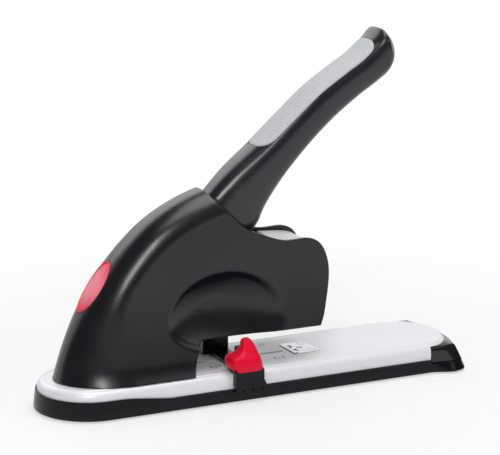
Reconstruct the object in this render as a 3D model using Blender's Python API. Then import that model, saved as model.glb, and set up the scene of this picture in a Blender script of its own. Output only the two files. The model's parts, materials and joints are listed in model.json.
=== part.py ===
"""Heavy-duty desk stapler.

Metres, +Z up. The stapler rests on its feet at Z = 0 and its front points along +X. Y = 0 is the middle
plane of the magazine, and the near side is -Y. Each piece is one object, and each moving piece hangs on
an empty that stands on its joint's axis.
"""

import math

import bmesh
import bpy
from mathutils import Matrix, Vector

# Clearances and cutting
GAP = 0.0003
OVERRUN = 0.004
SHADING_ANGLE = math.radians(32)

# Silver deck cover
DECK_TOP = 0.0190
DECK_HALF_WIDTH = 0.0330
DECK_SHOULDER = 0.0045
DECK_SHEET = 0.0012
NOSE_X = 0.1160
NOSE_LENGTH = 0.0228
NOSE_ROUNDING_SHARE = 0.25

# Black base skirt: its half width is at its foot, and its front stands wider and lower
SKIRT_LEDGE = 0.0023
SKIRT_HALF_WIDTH = DECK_HALF_WIDTH + SKIRT_LEDGE
SKIRT_DRAFT = 0.0009
SKIRT_BOTTOM = 0.0012
SKIRT_FLOOR = 0.0028
SKIRT_WALL = 0.0042
SKIRT_HEIGHT = 0.0090
SKIRT_FRONT_HEIGHT = 0.0070
SKIRT_REAR_HEIGHT = 0.0130
SKIRT_RIM = 0.0012
SKIRT_RISE_START_X = -0.0600
SKIRT_RISE_END_X = -0.1050
SKIRT_RISE_STEPS = 4
BASE_REAR_X = -0.1097
BASE_SIDE_END_X = 0.1150
EAR_X = 0.1310
EAR_WIDTH = 0.0047
CORNER_X = 0.1410
CORNER_Y = 0.0340
FRONT_X = 0.1450
EAR_BEND_SHARES = (0.7, 0.4)
FRONT_RIM_FLARE_SHARE = 0.45
TOP_FLARE_SHARE = 0.1

# Guide slot in the deck
SLOT_START_X = -0.0380
SLOT_END_X = 0.0230
SLOT_Y = -0.0020
SLOT_WIDTH = 0.0020

# Black front end cap
CAP_TIP_X = 0.1405
CAP_CORNER_X = 0.1350
CAP_CORNER_Y = 0.0302
CAP_ROUNDING = 0.0012
CAP_BEND_SHARES = (0.75, 0.5)
CAP_SHOULDER_SHARES = (0.8, 0.95)

# Steel chassis under the deck
CHASSIS_START_X = -0.1180
CHASSIS_END_X = 0.1060
CHASSIS_SIDE_ROOM = 0.0065
CHASSIS_HALF_WIDTH = DECK_HALF_WIDTH - CHASSIS_SIDE_ROOM
CHASSIS_TOP = 0.0147
CHASSIS_SHEET = 0.0025
CHASSIS_FLOOR = 0.0043

# Anvil
ANVIL_START_X = 0.0270
ANVIL_END_X = 0.0460
ANVIL_HALF_WIDTH = 0.0118
ANVIL_TOP = 0.01915
ANVIL_POCKET_X = 0.0322
ANVIL_POCKET_Y = 0.0048
ANVIL_POCKET_LENGTH = 0.0036
ANVIL_POCKET_WIDTH = 0.0018
ANVIL_POCKET_DEPTH = 0.0007
ANVIL_SCREW_X = 0.0415
ANVIL_SCREW_Y = 0.0080
ANVIL_SCREW_HEAD_RADIUS = 0.0022
ANVIL_SCREW_HEAD = 0.0012
ANVIL_SCREW_RADIUS = 0.0012
ANVIL_SCREW_END = 0.0128

# Rubber feet and base screws
FOOT_RADIUS = 0.0080
FOOT_HEIGHT = 0.0026
FOOT_REAR_X = -0.1080
FOOT_REAR_Y = 0.0190
FOOT_FRONT_X = 0.1200
FOOT_FRONT_Y = 0.0220
BASE_SCREW_REAR_X = -0.0860
BASE_SCREW_FRONT_X = 0.0920
BASE_SCREW_Y = 0.0170
BASE_SCREW_HEAD_RADIUS = 0.0032
BASE_SCREW_HEAD = 0.0014
BASE_SCREW_RADIUS = 0.0017

# Charcoal housing: its back is an arc about one centre, which falls inwards towards the crest
BACK_CENTRE = (0.0340, -0.0216)
BACK_RADIUS = 0.1720
BACK_FALL = 0.0040
BACK_FALL_START = math.radians(130)
BACK_FALL_END = math.radians(115)
BACK_FALL_POWER = 1.5
HOUSING_CORE_RADIUS = 0.0400
HOUSING_WALL = 0.0024
HOUSING_FOOT = 0.0193
HOUSING_TOP_HALF_WIDTH = 0.0199
HOUSING_FLARE = 0.0091
HOUSING_FLARE_TOP = 0.1100
HOUSING_FLARE_HEIGHT = 0.0910
HOUSING_SPLAY = 0.0020
HOUSING_SPLAY_HEIGHT = 0.0110
CORNER_FOOT_DEPTH = 0.0430
CORNER_TOP_DEPTH = 0.0160
CORNER_BLEND_HEIGHT = 0.0700
CORNER_TOP_SHARE = 0.9
FAN_START = math.radians(79)
FAN_END = math.radians(169)
HOUSING_REACH = 0.0600
SEAM_HALF_GAP = 0.00015
CREST = (-0.0335, 0.1310)
CUT_LINE = (
    (-0.0280, 0.1237), (-0.0138, 0.1097), (0.0012, 0.1024), (0.0160, 0.0974), (0.0329, 0.0971),
    (0.0414, 0.0924), (0.0460, 0.0815), (0.0462, 0.0685), (0.0422, 0.0484), (0.0391, 0.0403),
)
THROAT_TOP = 0.0403
THROAT_END_X = -0.0410
LEG_FRONT = ((-0.0440, 0.0395), (-0.0462, 0.0345), (-0.0482, 0.0293), (-0.0499, 0.0246), (-0.0511, 0.0193))
MAGAZINE_SLOT_HALF_WIDTH = 0.0104
MAGAZINE_SLOT_BOTTOM = 0.0290

# Scoop in each side of the housing: deepest near its upper rear, and run out towards the throat
SCOOP_CENTRE = (-0.0250, 0.0500)
SCOOP_HALF_LENGTH = 0.0430
SCOOP_RISE = 0.0330
SCOOP_DROP = 0.0200
SCOOP_DEPTH = 0.0060
SCOOP_SHIFT = (-0.0170, 0.0150)
SCOOP_FLOOR_SHARE = 0.40
SCOOP_SLOPE_POWER = 1.5
SCOOP_SLOPE_STEPS = 4
SCOOP_SIDES = 22
SCOOP_WALL_SIDES = 14

# Red badge on the rear
BADGE_Z = 0.0772
BADGE_HALF_LENGTH = 0.0183
BADGE_HALF_WIDTH = 0.0094
BADGE_RISE = 0.0008
BADGE_SEAT = 0.0010
BADGE_SIDES = 28
BADGE_SEAT_SHARES = (0.3, 0.65, 1)
BADGE_RIM_SHARES = (0.94, 0.86)
BADGE_FIELD_SHARES = ((0.8, 0.5), (0.5, 0.7), (0.3, 1))

# Pivots
HANDLE_PIVOT = (-0.0290, 0.0995)
MAGAZINE_PIVOT = (-0.0800, 0.0500)
PIVOT_RADIUS = 0.0040
PIVOT_HEAD_RADIUS = 0.0052
PIVOT_HEAD = 0.0007
BUSH_RADIUS = 0.0065
MAGAZINE_PIN_RADIUS = 0.0030
MAGAZINE_COLLAR_RADIUS = 0.0048

# Frame side plates
FRAME_HALF_GAP = 0.0142
FRAME_SHEET = 0.0018
FRAME_BACK_ROOM = 0.0140
FRAME_REAR_RADIUS = BACK_RADIUS - FRAME_BACK_ROOM
FRAME_HUB_RADIUS = 0.0140
FRAME_FOOT = 0.0196
FRAME_BACK_TOP = 0.1120
FRAME_FRONT = (
    (-0.0120, 0.1045), (0.0000, 0.0990), (0.0100, 0.0920), (0.0370, 0.0890), (0.0405, 0.0840),
    (0.0415, 0.0660), (0.0380, 0.0630), (0.0250, 0.0630), (0.0200, 0.0800), (0.0080, 0.0860),
    (-0.0100, 0.0885), (-0.0380, 0.0885), (-0.0600, 0.0830), (-0.0725, 0.0690), (-0.0750, 0.0520),
    (-0.0710, 0.0370), (-0.0590, 0.0280), (-0.0560, 0.0196),
)
FRAME_FLANGE_WIDTH = 0.0070
FRAME_FLANGE_START_X = -0.1105
FRAME_FLANGE_END_X = -0.0600
FRAME_BOLT_REAR_X = -0.1060
FRAME_BOLT_FRONT_X = -0.0670
FRAME_BOLT_Y = 0.0194
FRAME_BOLT_RADIUS = 0.0018
FRAME_BOLT_HEAD_RADIUS = 0.0030
FRAME_BOLT_HEAD = 0.0022
FRAME_BOLT_END = 0.0118

# Spacers between the plates, each with a long screw from the far side
SPACER_PLACES = ((-0.0980, 0.0360), (-0.0780, 0.0840), (-0.0655, 0.0300))
SPACER_RADIUS = 0.0040
SCREW_RADIUS = 0.0016
SCREW_HEAD_RADIUS = 0.0032
SCREW_HEAD = 0.0018
SCREW_SINK = 0.0008
BOSS_RADIUS = 0.0042
BOSS_START_Y = 0.0164

# Spring bridge and return spring
SPRING_X = -0.0520
SPRING_RADIUS = 0.0042
SPRING_WIRE_RADIUS = 0.00045
SPRING_TURNS = 4.5
BRIDGE_BOTTOM = 0.1124
BRIDGE_SHEET = 0.0018
BRIDGE_HALF_LENGTH = 0.0048

# Silver inner front cover
COVER_HALF_WIDTH = 0.0172
COVER_SHEET = 0.0014
COVER_LINE = (
    (0.0142, 0.0956), (0.0340, 0.0938), (0.0405, 0.0905), (0.0440, 0.0850), (0.0448, 0.0700),
    (0.0425, 0.0540),
)

# Steel lever that turns inside the handle
LEVER_HALF_THICKNESS = 0.0045
LEVER_HUB_RADIUS = 0.0090
LEVER_HEEL = (0.0080, 0.0900)
LEVER_HEEL_RADIUS = 0.0042
LEVER_NOSE = (0.0330, 0.0885)
LEVER_NOSE_RADIUS = 0.0032
LEVER_TIP = (0.0500, 0.1800)
LEVER_TIP_RADIUS = 0.0045
LEVER_TAIL_TOP = 0.0940
LEVER_TAIL_DEPTH = 0.0045
LEVER_TAIL_HALF_LENGTH = 0.0050

# Black handle: a section at each station, as the places of its upper and lower edge and its half width
ROOT_RADIUS = 0.0270
ROOT_HALF_WIDTH = 0.0112
ROOT_LOW_ANGLE = math.radians(15.5)
ROOT_HIGH_ANGLE = math.radians(132)
ROOT_BOSS_RADIUS = 0.0085
ROOT_CLEARANCE = 0.0008
HANDLE_STATIONS = (
    (-0.0302, 0.1285, -0.0022, 0.1005, 0.0133),
    (-0.0235, 0.1355, 0.0034, 0.1071, 0.0138),
    (-0.0141, 0.1440, 0.0090, 0.1189, 0.0146),
    (0.0053, 0.1591, 0.0212, 0.1362, 0.0152),
    (0.0249, 0.1758, 0.0388, 0.1549, 0.0150),
    (0.0426, 0.1905, 0.0555, 0.1697, 0.0148),
    (0.0621, 0.2029, 0.0729, 0.1824, 0.0148),
    (0.0731, 0.2094, 0.0824, 0.1883, 0.0150),
    (0.0841, 0.2185, 0.0929, 0.1953, 0.0152),
    (0.0903, 0.2248, 0.0966, 0.1998, 0.0148),
    (0.0930, 0.2228, 0.0989, 0.2037, 0.0122),
    (0.0972, 0.2195, 0.1009, 0.2071, 0.0078),
    (0.0992, 0.2170, 0.1017, 0.2093, 0.0038),
)
HANDLE_SQUARENESS = 3
HANDLE_STEPS = 30
HANDLE_SIDES = 20
INLAY_START_SHARE = 0.237
INLAY_END_SHARE = 0.665
INLAY_HALF_WIDTH = 0.0125
INLAY_HALF_LENGTH = 0.0510
INLAY_DEPTH = 0.0014
INLAY_RISE = 0.0004
INLAY_INNER_SHARES = (0.12, 0.4, 0.7)
INLAY_EDGE_SHARE = 0.95

# Magazine
MAGAZINE_START_X = -0.0740
MAGAZINE_END_X = 0.0370
MAGAZINE_BOTTOM = 0.0410
MAGAZINE_TOP = 0.0580
MAGAZINE_HALF_WIDTH = 0.0090
MAGAZINE_SHEET = 0.0012
MAGAZINE_HUB_RADIUS = 0.0080
MAGAZINE_FLOOR_END_X = 0.0355
FRONT_PLATE_START_X = 0.0373
FRONT_PLATE_END_X = 0.0395
RAIL_START_X = -0.0660
RAIL_END_X = 0.0355
RAIL_HALF_WIDTH = 0.0054
RAIL_TOP = 0.0546
STAPLE_START_X = 0.0130
STAPLE_END_X = 0.0357
STAPLE_HALF_WIDTH = 0.0066
STAPLE_TOP = 0.0558
STAPLE_BOTTOM = 0.0440
STAPLE_WIRE = 0.0009
FOLLOWER_LENGTH = 0.0130
FOLLOWER_TONGUE_HALF_WIDTH = 0.0032
ROD_Z = 0.0485
ROD_RADIUS = 0.0010
ROD_LENGTH = 0.0200
FOLLOWER_SPRING_RADIUS = 0.0026
FOLLOWER_SPRING_WIRE_RADIUS = 0.0004
FOLLOWER_SPRING_TURNS = 7

# Driver
BLADE_START_X = 0.0360
BLADE_END_X = 0.0370
BLADE_HALF_WIDTH = 0.0064
BLADE_BOTTOM = 0.0566
BLADE_TOP = 0.0850
CARRIAGE_START_X = 0.0120
CARRIAGE_WEB_X = 0.0325
CARRIAGE_WEB_BOTTOM = 0.0715
CARRIAGE_DEPTH = 0.0030

# Paper guide
GUIDE_LEFT_X = -0.0266
GUIDE_RIGHT_X = -0.0070
GUIDE_FLARE = 0.0035
GUIDE_BOTTOM = 0.0075
GUIDE_SHEET = 0.0025
GUIDE_SIDE_ROOM = 0.0007
GUIDE_DECK_ROOM = 0.0004
GUIDE_LOWER_INNER_Y = SKIRT_HALF_WIDTH - SKIRT_DRAFT + GUIDE_SIDE_ROOM
GUIDE_UPPER_INNER_Y = DECK_HALF_WIDTH + GUIDE_DECK_ROOM
GUIDE_FACE_Y = GUIDE_LOWER_INNER_Y + GUIDE_SHEET
GUIDE_STEP = 0.0104
GUIDE_BAR_TOP = 0.0218
GUIDE_BAR_START_X = -0.0230
GUIDE_BAR_END_X = -0.0100
GUIDE_FAR_Y = 0.0220
GUIDE_NOTCHES = 3
GUIDE_NOTCH_WIDTH = 0.0014
GUIDE_NOTCH_HEIGHT = 0.0016
POST_FAR_START_X = -0.0270
POST_FAR_END_X = -0.0090
POST_FAR_TOP = 0.0345
POST_INNER_Y = 0.0115
POST_NEAR_START_X = -0.0155
POST_NEAR_END_X = -0.0100
POST_NEAR_TOP = 0.0300
POST_NEAR_OUTER_Y = 0.0195
POST_ROUNDING = 0.0050
LUG_START_X = -0.0180
LUG_END_X = -0.0130
LUG_HALF_DEPTH = 0.0015
GUIDE_PIN_X = -0.0165
GUIDE_PIN_RADIUS = 0.0007
GUIDE_NUT_RADIUS = 0.0040
GUIDE_NUT_BOTTOM = 0.0153
GUIDE_NUT_TOP = 0.0173

# Red release knob: half width left and right of its middle, and front and back faces, at each height
KNOB_X = -0.0158
KNOB_LEVELS = (
    (0.0205, -0.0117, 0.0088, -0.0385, -0.0224),
    (0.0215, -0.0124, 0.0092, -0.0390, -0.0219),
    (0.0258, -0.0132, 0.0083, -0.0390, -0.0218),
    (0.0284, -0.0130, 0.0076, -0.0385, -0.0224),
    (0.0298, -0.0119, 0.0071, -0.0378, -0.0236),
    (0.0312, -0.0082, 0.0064, -0.0366, -0.0250),
    (0.0332, -0.0054, 0.0057, -0.0350, -0.0256),
    (0.0355, -0.0037, 0.0049, -0.0334, -0.0260),
    (0.0378, -0.0032, 0.0037, -0.0319, -0.0262),
    (0.0392, -0.0025, 0.0028, -0.0308, -0.0266),
    (0.0400, -0.0012, 0.0014, -0.0296, -0.0274),
)
KNOB_SQUARENESS = 4
KNOB_SIDES = 20
KNOB_AXIS = (-0.0265, 0.0246)
KNOB_PIN_RADIUS = 0.0007
KNOB_CLIP_ROOM = 0.0006
KNOB_HOLLOW_TOP = 0.0292
KNOB_HOLLOW_HALF_DEPTH = 0.0024

# Looks: colour, roughness and metallic value
BLACK_PLASTIC = ((0.020, 0.020, 0.022), 0.42, 0.0)
BLACK_GLOSS = ((0.012, 0.012, 0.014), 0.16, 0.0)
CHARCOAL = ((0.030, 0.031, 0.035), 0.45, 0.0)
SILVER_PAINT = ((0.80, 0.81, 0.83), 0.32, 0.35)
GREY_INLAY = ((0.135, 0.140, 0.150), 0.80, 0.0)
RED_PLASTIC = ((0.70, 0.015, 0.040), 0.30, 0.0)
STEEL = ((0.55, 0.56, 0.58), 0.35, 1.0)
DARK_STEEL = ((0.16, 0.16, 0.17), 0.45, 1.0)
BRASS = ((0.72, 0.52, 0.22), 0.30, 1.0)
RUBBER = ((0.015, 0.015, 0.015), 0.90, 0.0)


def clear_scene():
    for old in list(bpy.data.objects):
        bpy.data.objects.remove(old, do_unlink=True)


def paint(body, look):
    """Gives the body a material of its own."""
    colour, roughness, metallic = look
    surface = bpy.data.materials.new(body.name)
    surface.use_nodes = True
    shader = surface.node_tree.nodes["Principled BSDF"]
    shader.inputs["Base Color"].default_value = (*colour, 1)
    shader.inputs["Roughness"].default_value = roughness
    shader.inputs["Metallic"].default_value = metallic
    surface.diffuse_color = (*colour, 1)
    body.data.materials.clear()
    body.data.materials.append(surface)


def finish(body, look, pivot=None):
    """Paints and shades the body, and hangs it on its joint's empty."""
    paint(body, look)
    for face in body.data.polygons:
        face.use_smooth = True
    body.data.set_sharp_from_angle(angle=SHADING_ANGLE)
    if pivot is not None:
        body.data.transform(Matrix.Translation(-pivot.matrix_world.translation))
        body.parent = pivot
    return body


def pivot_at(name, place, carrier=None):
    """An empty on a joint's axis, carried by another one where the joint rides on it."""
    pivot = bpy.data.objects.new(name, None)
    bpy.context.scene.collection.objects.link(pivot)
    pivot.location = Vector(place)
    if carrier is not None:
        pivot.location = Vector(place) - carrier.matrix_world.translation
        pivot.parent = carrier
    bpy.context.view_layer.update()
    return pivot


def solid(name, points, faces):
    mesh = bpy.data.meshes.new(name)
    mesh.from_pydata([tuple(point) for point in points], [], faces)
    shape = bmesh.new()
    shape.from_mesh(mesh)
    bmesh.ops.recalc_face_normals(shape, faces=shape.faces)
    shape.to_mesh(mesh)
    shape.free()
    body = bpy.data.objects.new(name, mesh)
    bpy.context.scene.collection.objects.link(body)
    return body


def loft(name, rings):
    """A closed solid through rings of equally many points, capped at both ends."""
    count = len(rings[0])
    points = [point for ring in rings for point in ring]
    faces = [tuple(reversed(range(count)))]
    for level in range(len(rings) - 1):
        start = level * count
        for i in range(count):
            j = (i + 1) % count
            faces.append((start + i, start + j, start + count + j, start + count + i))
    faces.append(tuple(range(len(points) - count, len(points))))
    return solid(name, points, faces)


def prism(name, outline, low, high):
    """An outline in X and Z, drawn out along Y."""
    return loft(name, [[(x, y, z) for x, z in outline] for y in (low, high)])


def slab(name, outline, low, high):
    """An outline in X and Y, drawn out along Z."""
    return loft(name, [[(x, y, z) for x, y in outline] for z in (low, high)])


def bar(name, outline, low, high):
    """An outline in Y and Z, drawn out along X."""
    return loft(name, [[(x, y, z) for y, z in outline] for x in (low, high)])


def box(name, low, high):
    corners = ((low[0], low[1]), (high[0], low[1]), (high[0], high[1]), (low[0], high[1]))
    return slab(name, corners, low[2], high[2])


def arc(centre, radius, start, end, steps):
    """Points of an arc, both ends among them."""
    turns = [start + (end - start) * i / steps for i in range(steps + 1)]
    return [(centre[0] + radius * math.cos(turn), centre[1] + radius * math.sin(turn)) for turn in turns]


def circle(centre, radius, sides=24):
    return arc(centre, radius, 0, math.tau, sides)[:-1]


def rod_y(name, centre, radius, low, high, sides=20):
    return prism(name, circle(centre, radius, sides), low, high)


def rod_z(name, centre, radius, low, high, sides=20):
    return slab(name, circle(centre, radius, sides), low, high)


def rod_x(name, centre, radius, low, high, sides=12):
    return bar(name, circle(centre, radius, sides), low, high)


def curve_through(places, steps):
    """A smooth curve through places of any number of coordinates, ends included."""
    found = []
    last = len(places) - 1
    for i in range(last):
        before, here, there, after = (places[min(max(j, 0), last)] for j in (i - 1, i, i + 1, i + 2))
        for k in range(steps):
            found.append(spline_point(before, here, there, after, k / steps))
    found.append(tuple(places[-1]))
    return found


def spline_point(before, here, there, after, share):
    """A point of the Catmull-Rom curve between here and there."""
    point = []
    for a, b, c, d in zip(before, here, there, after):
        bend = 2 * a - 5 * b + 4 * c - d
        twist = 3 * (b - c) + d - a
        point.append(b + (c - a) * share / 2 + bend * share**2 / 2 + twist * share**3 / 2)
    return tuple(point)


def mix(first, second, share):
    return first + (second - first) * share


def eased(share):
    """A share from 0 to 1 that starts and ends gently."""
    share = min(max(share, 0), 1)
    return share * share * (3 - 2 * share)


def combine(body, others, operation):
    """Applies a Boolean with each of the others in turn, then removes them."""
    for other in others:
        modifier = body.modifiers.new(operation, "BOOLEAN")
        modifier.operation = operation
        modifier.object = other
        bpy.context.view_layer.update()
        graph = bpy.context.evaluated_depsgraph_get()
        mesh = bpy.data.meshes.new_from_object(body.evaluated_get(graph))
        body.modifiers.clear()
        body.data = mesh
        bpy.data.objects.remove(other, do_unlink=True)
    return body


def cut(body, *cutters):
    return combine(body, cutters, "DIFFERENCE")


def join(body, *others):
    return combine(body, others, "UNION")


def keep_inside(body, other):
    return combine(body, [other], "INTERSECT")


def link_outline(first, first_radius, second, second_radius, steps=6):
    """The outline of a bar with two round ends of unlike radius."""
    along = Vector(second) - Vector(first)
    heading = math.atan2(along.y, along.x)
    lean = math.acos((first_radius - second_radius) / along.length)
    near = arc(first, first_radius, heading + lean, heading + math.tau - lean, steps)
    return near + arc(second, second_radius, heading - lean, heading + lean, steps)


def link(name, first, first_radius, second, second_radius, half_thickness):
    outline = link_outline(first, first_radius, second, second_radius)
    return prism(name, outline, -half_thickness, half_thickness)


def coil(name, radius, wire_radius, turns, length, wire_sides=5, curl_points=8):
    """A coil about +Z from 0 to length as one tube, its wire ends cut flat."""
    steps = int(turns * curl_points)
    rise = (length - 2 * wire_radius) / steps
    rings = []
    for i in range(steps + 1):
        turn = math.tau * turns * i / steps
        outward = Vector((math.cos(turn), math.sin(turn), 0))
        middle = outward * radius + Vector((0, 0, wire_radius + rise * i))
        ring = []
        for k in range(wire_sides):
            roll = math.tau * k / wire_sides
            ring.append(middle + wire_radius * (outward * math.cos(roll) + Vector((0, 0, math.sin(roll)))))
        rings.append(ring)
    pitch = rise * curl_points
    print(f"{name}: least gap between curls {1000 * (pitch - 2 * wire_radius):.2f} mm")
    return loft(name, rings)


def base_ring(z, inset, flare, front_pull):
    """The base's outline at height z. Flare widens the front ears, and front_pull draws the front back."""
    half = SKIRT_HALF_WIDTH - inset
    side = arc((BASE_REAR_X, 0), half, math.pi, math.pi / 2, 14)
    for step in range(5):
        share = step / 4
        x = mix(BASE_SIDE_END_X, EAR_X, share)
        side.append((x, half + EAR_WIDTH * flare * eased(share)))
    corner_x = CORNER_X - front_pull
    along, inward = EAR_BEND_SHARES
    side.append((mix(EAR_X, corner_x, along), mix(half + EAR_WIDTH * flare, CORNER_Y, inward)))
    front_x = FRONT_X - front_pull
    for step in range(4):
        share = step / 3
        side.append((mix(corner_x, front_x, 1 - (1 - share) ** 2), (CORNER_Y - inset) * (1 - share)))
    return both_sides(side, z)


def both_sides(side, z):
    """A ring from the half outline at +Y, whose first and last points lie on the middle plane."""
    mirrored = [(x, -y) for x, y in reversed(side[1:-1])]
    return [(x, y, z) for x, y in side + mirrored]


def skirt_height(x):
    rise = eased((x - SKIRT_RISE_START_X) / (SKIRT_RISE_END_X - SKIRT_RISE_START_X))
    return mix(SKIRT_HEIGHT, SKIRT_REAR_HEIGHT, rise)


def make_base_skirt():
    top = SKIRT_REAR_HEIGHT + OVERRUN
    draft_at_top = SKIRT_DRAFT * top / SKIRT_HEIGHT
    skirt = loft("base_skirt", [
        base_ring(SKIRT_BOTTOM, SKIRT_DRAFT / 2, 1, SKIRT_DRAFT / 2),
        base_ring(SKIRT_BOTTOM + SKIRT_DRAFT, 0, 1, 0),
        base_ring(SKIRT_FRONT_HEIGHT, SKIRT_DRAFT / 2, FRONT_RIM_FLARE_SHARE, (FRONT_X - CAP_TIP_X) / 2),
        base_ring(top, draft_at_top, TOP_FLARE_SHARE, FRONT_X - CAP_TIP_X),
    ])
    over = [(-FRONT_X - OVERRUN, SKIRT_REAR_HEIGHT)]
    for step in range(SKIRT_RISE_STEPS + 1):
        x = mix(SKIRT_RISE_END_X, SKIRT_RISE_START_X, step / SKIRT_RISE_STEPS)
        over.append((x, skirt_height(x)))
    over.append((NOSE_X - GAP, SKIRT_HEIGHT))
    over += [(NOSE_X - GAP, SKIRT_FRONT_HEIGHT), (FRONT_X + OVERRUN, SKIRT_FRONT_HEIGHT)]
    over += [(FRONT_X + OVERRUN, top + OVERRUN), (-FRONT_X - OVERRUN, top + OVERRUN)]
    cut(skirt, prism("over_skirt", over, -FRONT_X, FRONT_X))
    rim_inner = DECK_HALF_WIDTH + GAP
    rear_well = arc((BASE_REAR_X, 0), rim_inner, math.pi, math.pi / 2, 14)
    rear_well += [(NOSE_X - GAP, rim_inner), (NOSE_X - GAP, 0)]
    well = loft("rim_well", [both_sides(rear_well, z) for z in (SKIRT_HEIGHT, top + OVERRUN)])
    pocket_half = SKIRT_HALF_WIDTH - SKIRT_WALL
    pocket = arc((BASE_REAR_X, 0), pocket_half, math.pi, math.pi / 2, 14)
    pocket += [(NOSE_X - SKIRT_WALL, pocket_half), (NOSE_X - SKIRT_WALL, 0)]
    floor = SKIRT_BOTTOM + SKIRT_FLOOR
    inside = loft("skirt_pocket", [both_sides(pocket, z) for z in (floor, top)])
    cut(skirt, well, inside)
    for x, y in foot_places():
        cut(skirt, rod_z("foot_seat", (x, y), FOOT_RADIUS + GAP, -OVERRUN, FOOT_HEIGHT + GAP, 28))
    for x, y in base_screw_places():
        sink = SKIRT_BOTTOM + BASE_SCREW_HEAD + GAP
        cut(skirt, rod_z("screw_sink", (x, y), BASE_SCREW_HEAD_RADIUS + GAP, -OVERRUN, sink, 16))
        cut(skirt, rod_z("screw_hole", (x, y), BASE_SCREW_RADIUS + GAP, -OVERRUN, floor + OVERRUN, 12))
    return finish(skirt, BLACK_PLASTIC)


def foot_places():
    for x, y in ((FOOT_REAR_X, FOOT_REAR_Y), (FOOT_FRONT_X, FOOT_FRONT_Y)):
        yield x, -y
        yield x, y


def base_screw_places():
    for x in (BASE_SCREW_REAR_X, BASE_SCREW_FRONT_X):
        yield x, -BASE_SCREW_Y
        yield x, BASE_SCREW_Y


def frame_bolt_places():
    for x in (FRAME_BOLT_REAR_X, FRAME_BOLT_FRONT_X):
        yield x, -FRAME_BOLT_Y
        yield x, FRAME_BOLT_Y


def deck_ring(z, inset):
    """The deck cover's outline at height z: a round rear, straight sides and a half-ellipse nose."""
    half = DECK_HALF_WIDTH - inset
    side = arc((BASE_REAR_X, 0), half, math.pi, math.pi / 2, 12)
    length = NOSE_LENGTH - NOSE_ROUNDING_SHARE * inset
    for step in range(13):
        turn = math.pi / 2 * (1 - step / 12)
        side.append((NOSE_X + length * math.cos(turn), half * math.sin(turn)))
    return both_sides(side, z)


def deck_rings(bottom, shrink, steps):
    """Rings of the deck cover from its lower edge over its rounded shoulder, shrunk inward all round."""
    rings = [deck_ring(bottom, shrink)]
    radius = DECK_SHOULDER
    for step in range(steps + 1):
        turn = math.pi / 2 * step / steps
        inner = radius - shrink
        z = DECK_TOP - radius + inner * math.sin(turn)
        rings.append(deck_ring(z, radius - inner * math.cos(turn)))
    return rings


def slot_outline(start_x, end_x, y, width):
    half = width / 2
    right = arc((end_x - half, y), half, -math.pi / 2, math.pi / 2, 8)
    return right + arc((start_x + half, y), half, math.pi / 2, 3 * math.pi / 2, 8)


def make_deck_cover():
    bottom = SKIRT_HEIGHT + GAP
    cover = loft("deck_cover", deck_rings(bottom, 0, 5))
    cut(cover, loft("deck_hollow", deck_rings(bottom - OVERRUN, DECK_SHEET, 3)))
    under_nose = DECK_TOP - DECK_SHEET
    reach = NOSE_LENGTH + OVERRUN
    cut(cover, box("nose_clearance", (NOSE_X, -FRONT_X, 0), (NOSE_X + reach, FRONT_X, under_nose)))
    slot = slot_outline(SLOT_START_X, SLOT_END_X, SLOT_Y, SLOT_WIDTH)
    cut(cover, slab("slot", slot, under_nose - OVERRUN, DECK_TOP + OVERRUN))
    cut(cover, anvil_box("anvil_opening", GAP, DECK_TOP + OVERRUN))
    for x, y in frame_bolt_places():
        cut(cover, rod_z("bolt_hole", (x, y), FRAME_BOLT_RADIUS + GAP, 0, DECK_TOP + OVERRUN, 12))
    return finish(cover, SILVER_PAINT)


def anvil_box(name, grow, top):
    low = (ANVIL_START_X - grow, -ANVIL_HALF_WIDTH - grow, CHASSIS_TOP + GAP)
    return box(name, low, (ANVIL_END_X + grow, ANVIL_HALF_WIDTH + grow, top))


def cap_ring(z, share, inset):
    """The end cap's outline: share runs from 0 at its lower edge to 1 at its top."""
    side = [(NOSE_X + GAP, 0), (NOSE_X + GAP, DECK_HALF_WIDTH - inset)]
    lower_half = SKIRT_HALF_WIDTH - SKIRT_DRAFT
    corner_x = mix(CORNER_X - (FRONT_X - CAP_TIP_X) / 2, CAP_CORNER_X, share) - inset
    corner_y = mix(CORNER_Y, CAP_CORNER_Y, share) - inset
    side_half = mix(lower_half, DECK_HALF_WIDTH, share) - inset
    side.append((EAR_X - (CORNER_X - CAP_CORNER_X) * share, side_half))
    along, inward = CAP_BEND_SHARES
    side.append((mix(EAR_X, corner_x, along), mix(side_half, corner_y, inward)))
    tip = mix(FRONT_X - (FRONT_X - CAP_TIP_X) / 2, CAP_TIP_X, share) - inset
    for step in range(6):
        along = step / 5
        side.append((mix(corner_x, tip, 1 - (1 - along) ** 2), corner_y * (1 - along)))
    return both_sides(side, z)


def make_front_end_cap():
    bottom = SKIRT_FRONT_HEIGHT + GAP
    top = DECK_TOP - DECK_SHEET - GAP
    low_shoulder, high_shoulder = CAP_SHOULDER_SHARES
    rings = [
        cap_ring(bottom, 0, 0),
        cap_ring(top - 2 * CAP_ROUNDING, low_shoulder, 0),
        cap_ring(top - CAP_ROUNDING / 2, high_shoulder, CAP_ROUNDING / 3),
        cap_ring(top, 1, CAP_ROUNDING),
    ]
    cap = loft("front_end_cap", rings)
    return finish(cap, BLACK_GLOSS)


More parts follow.
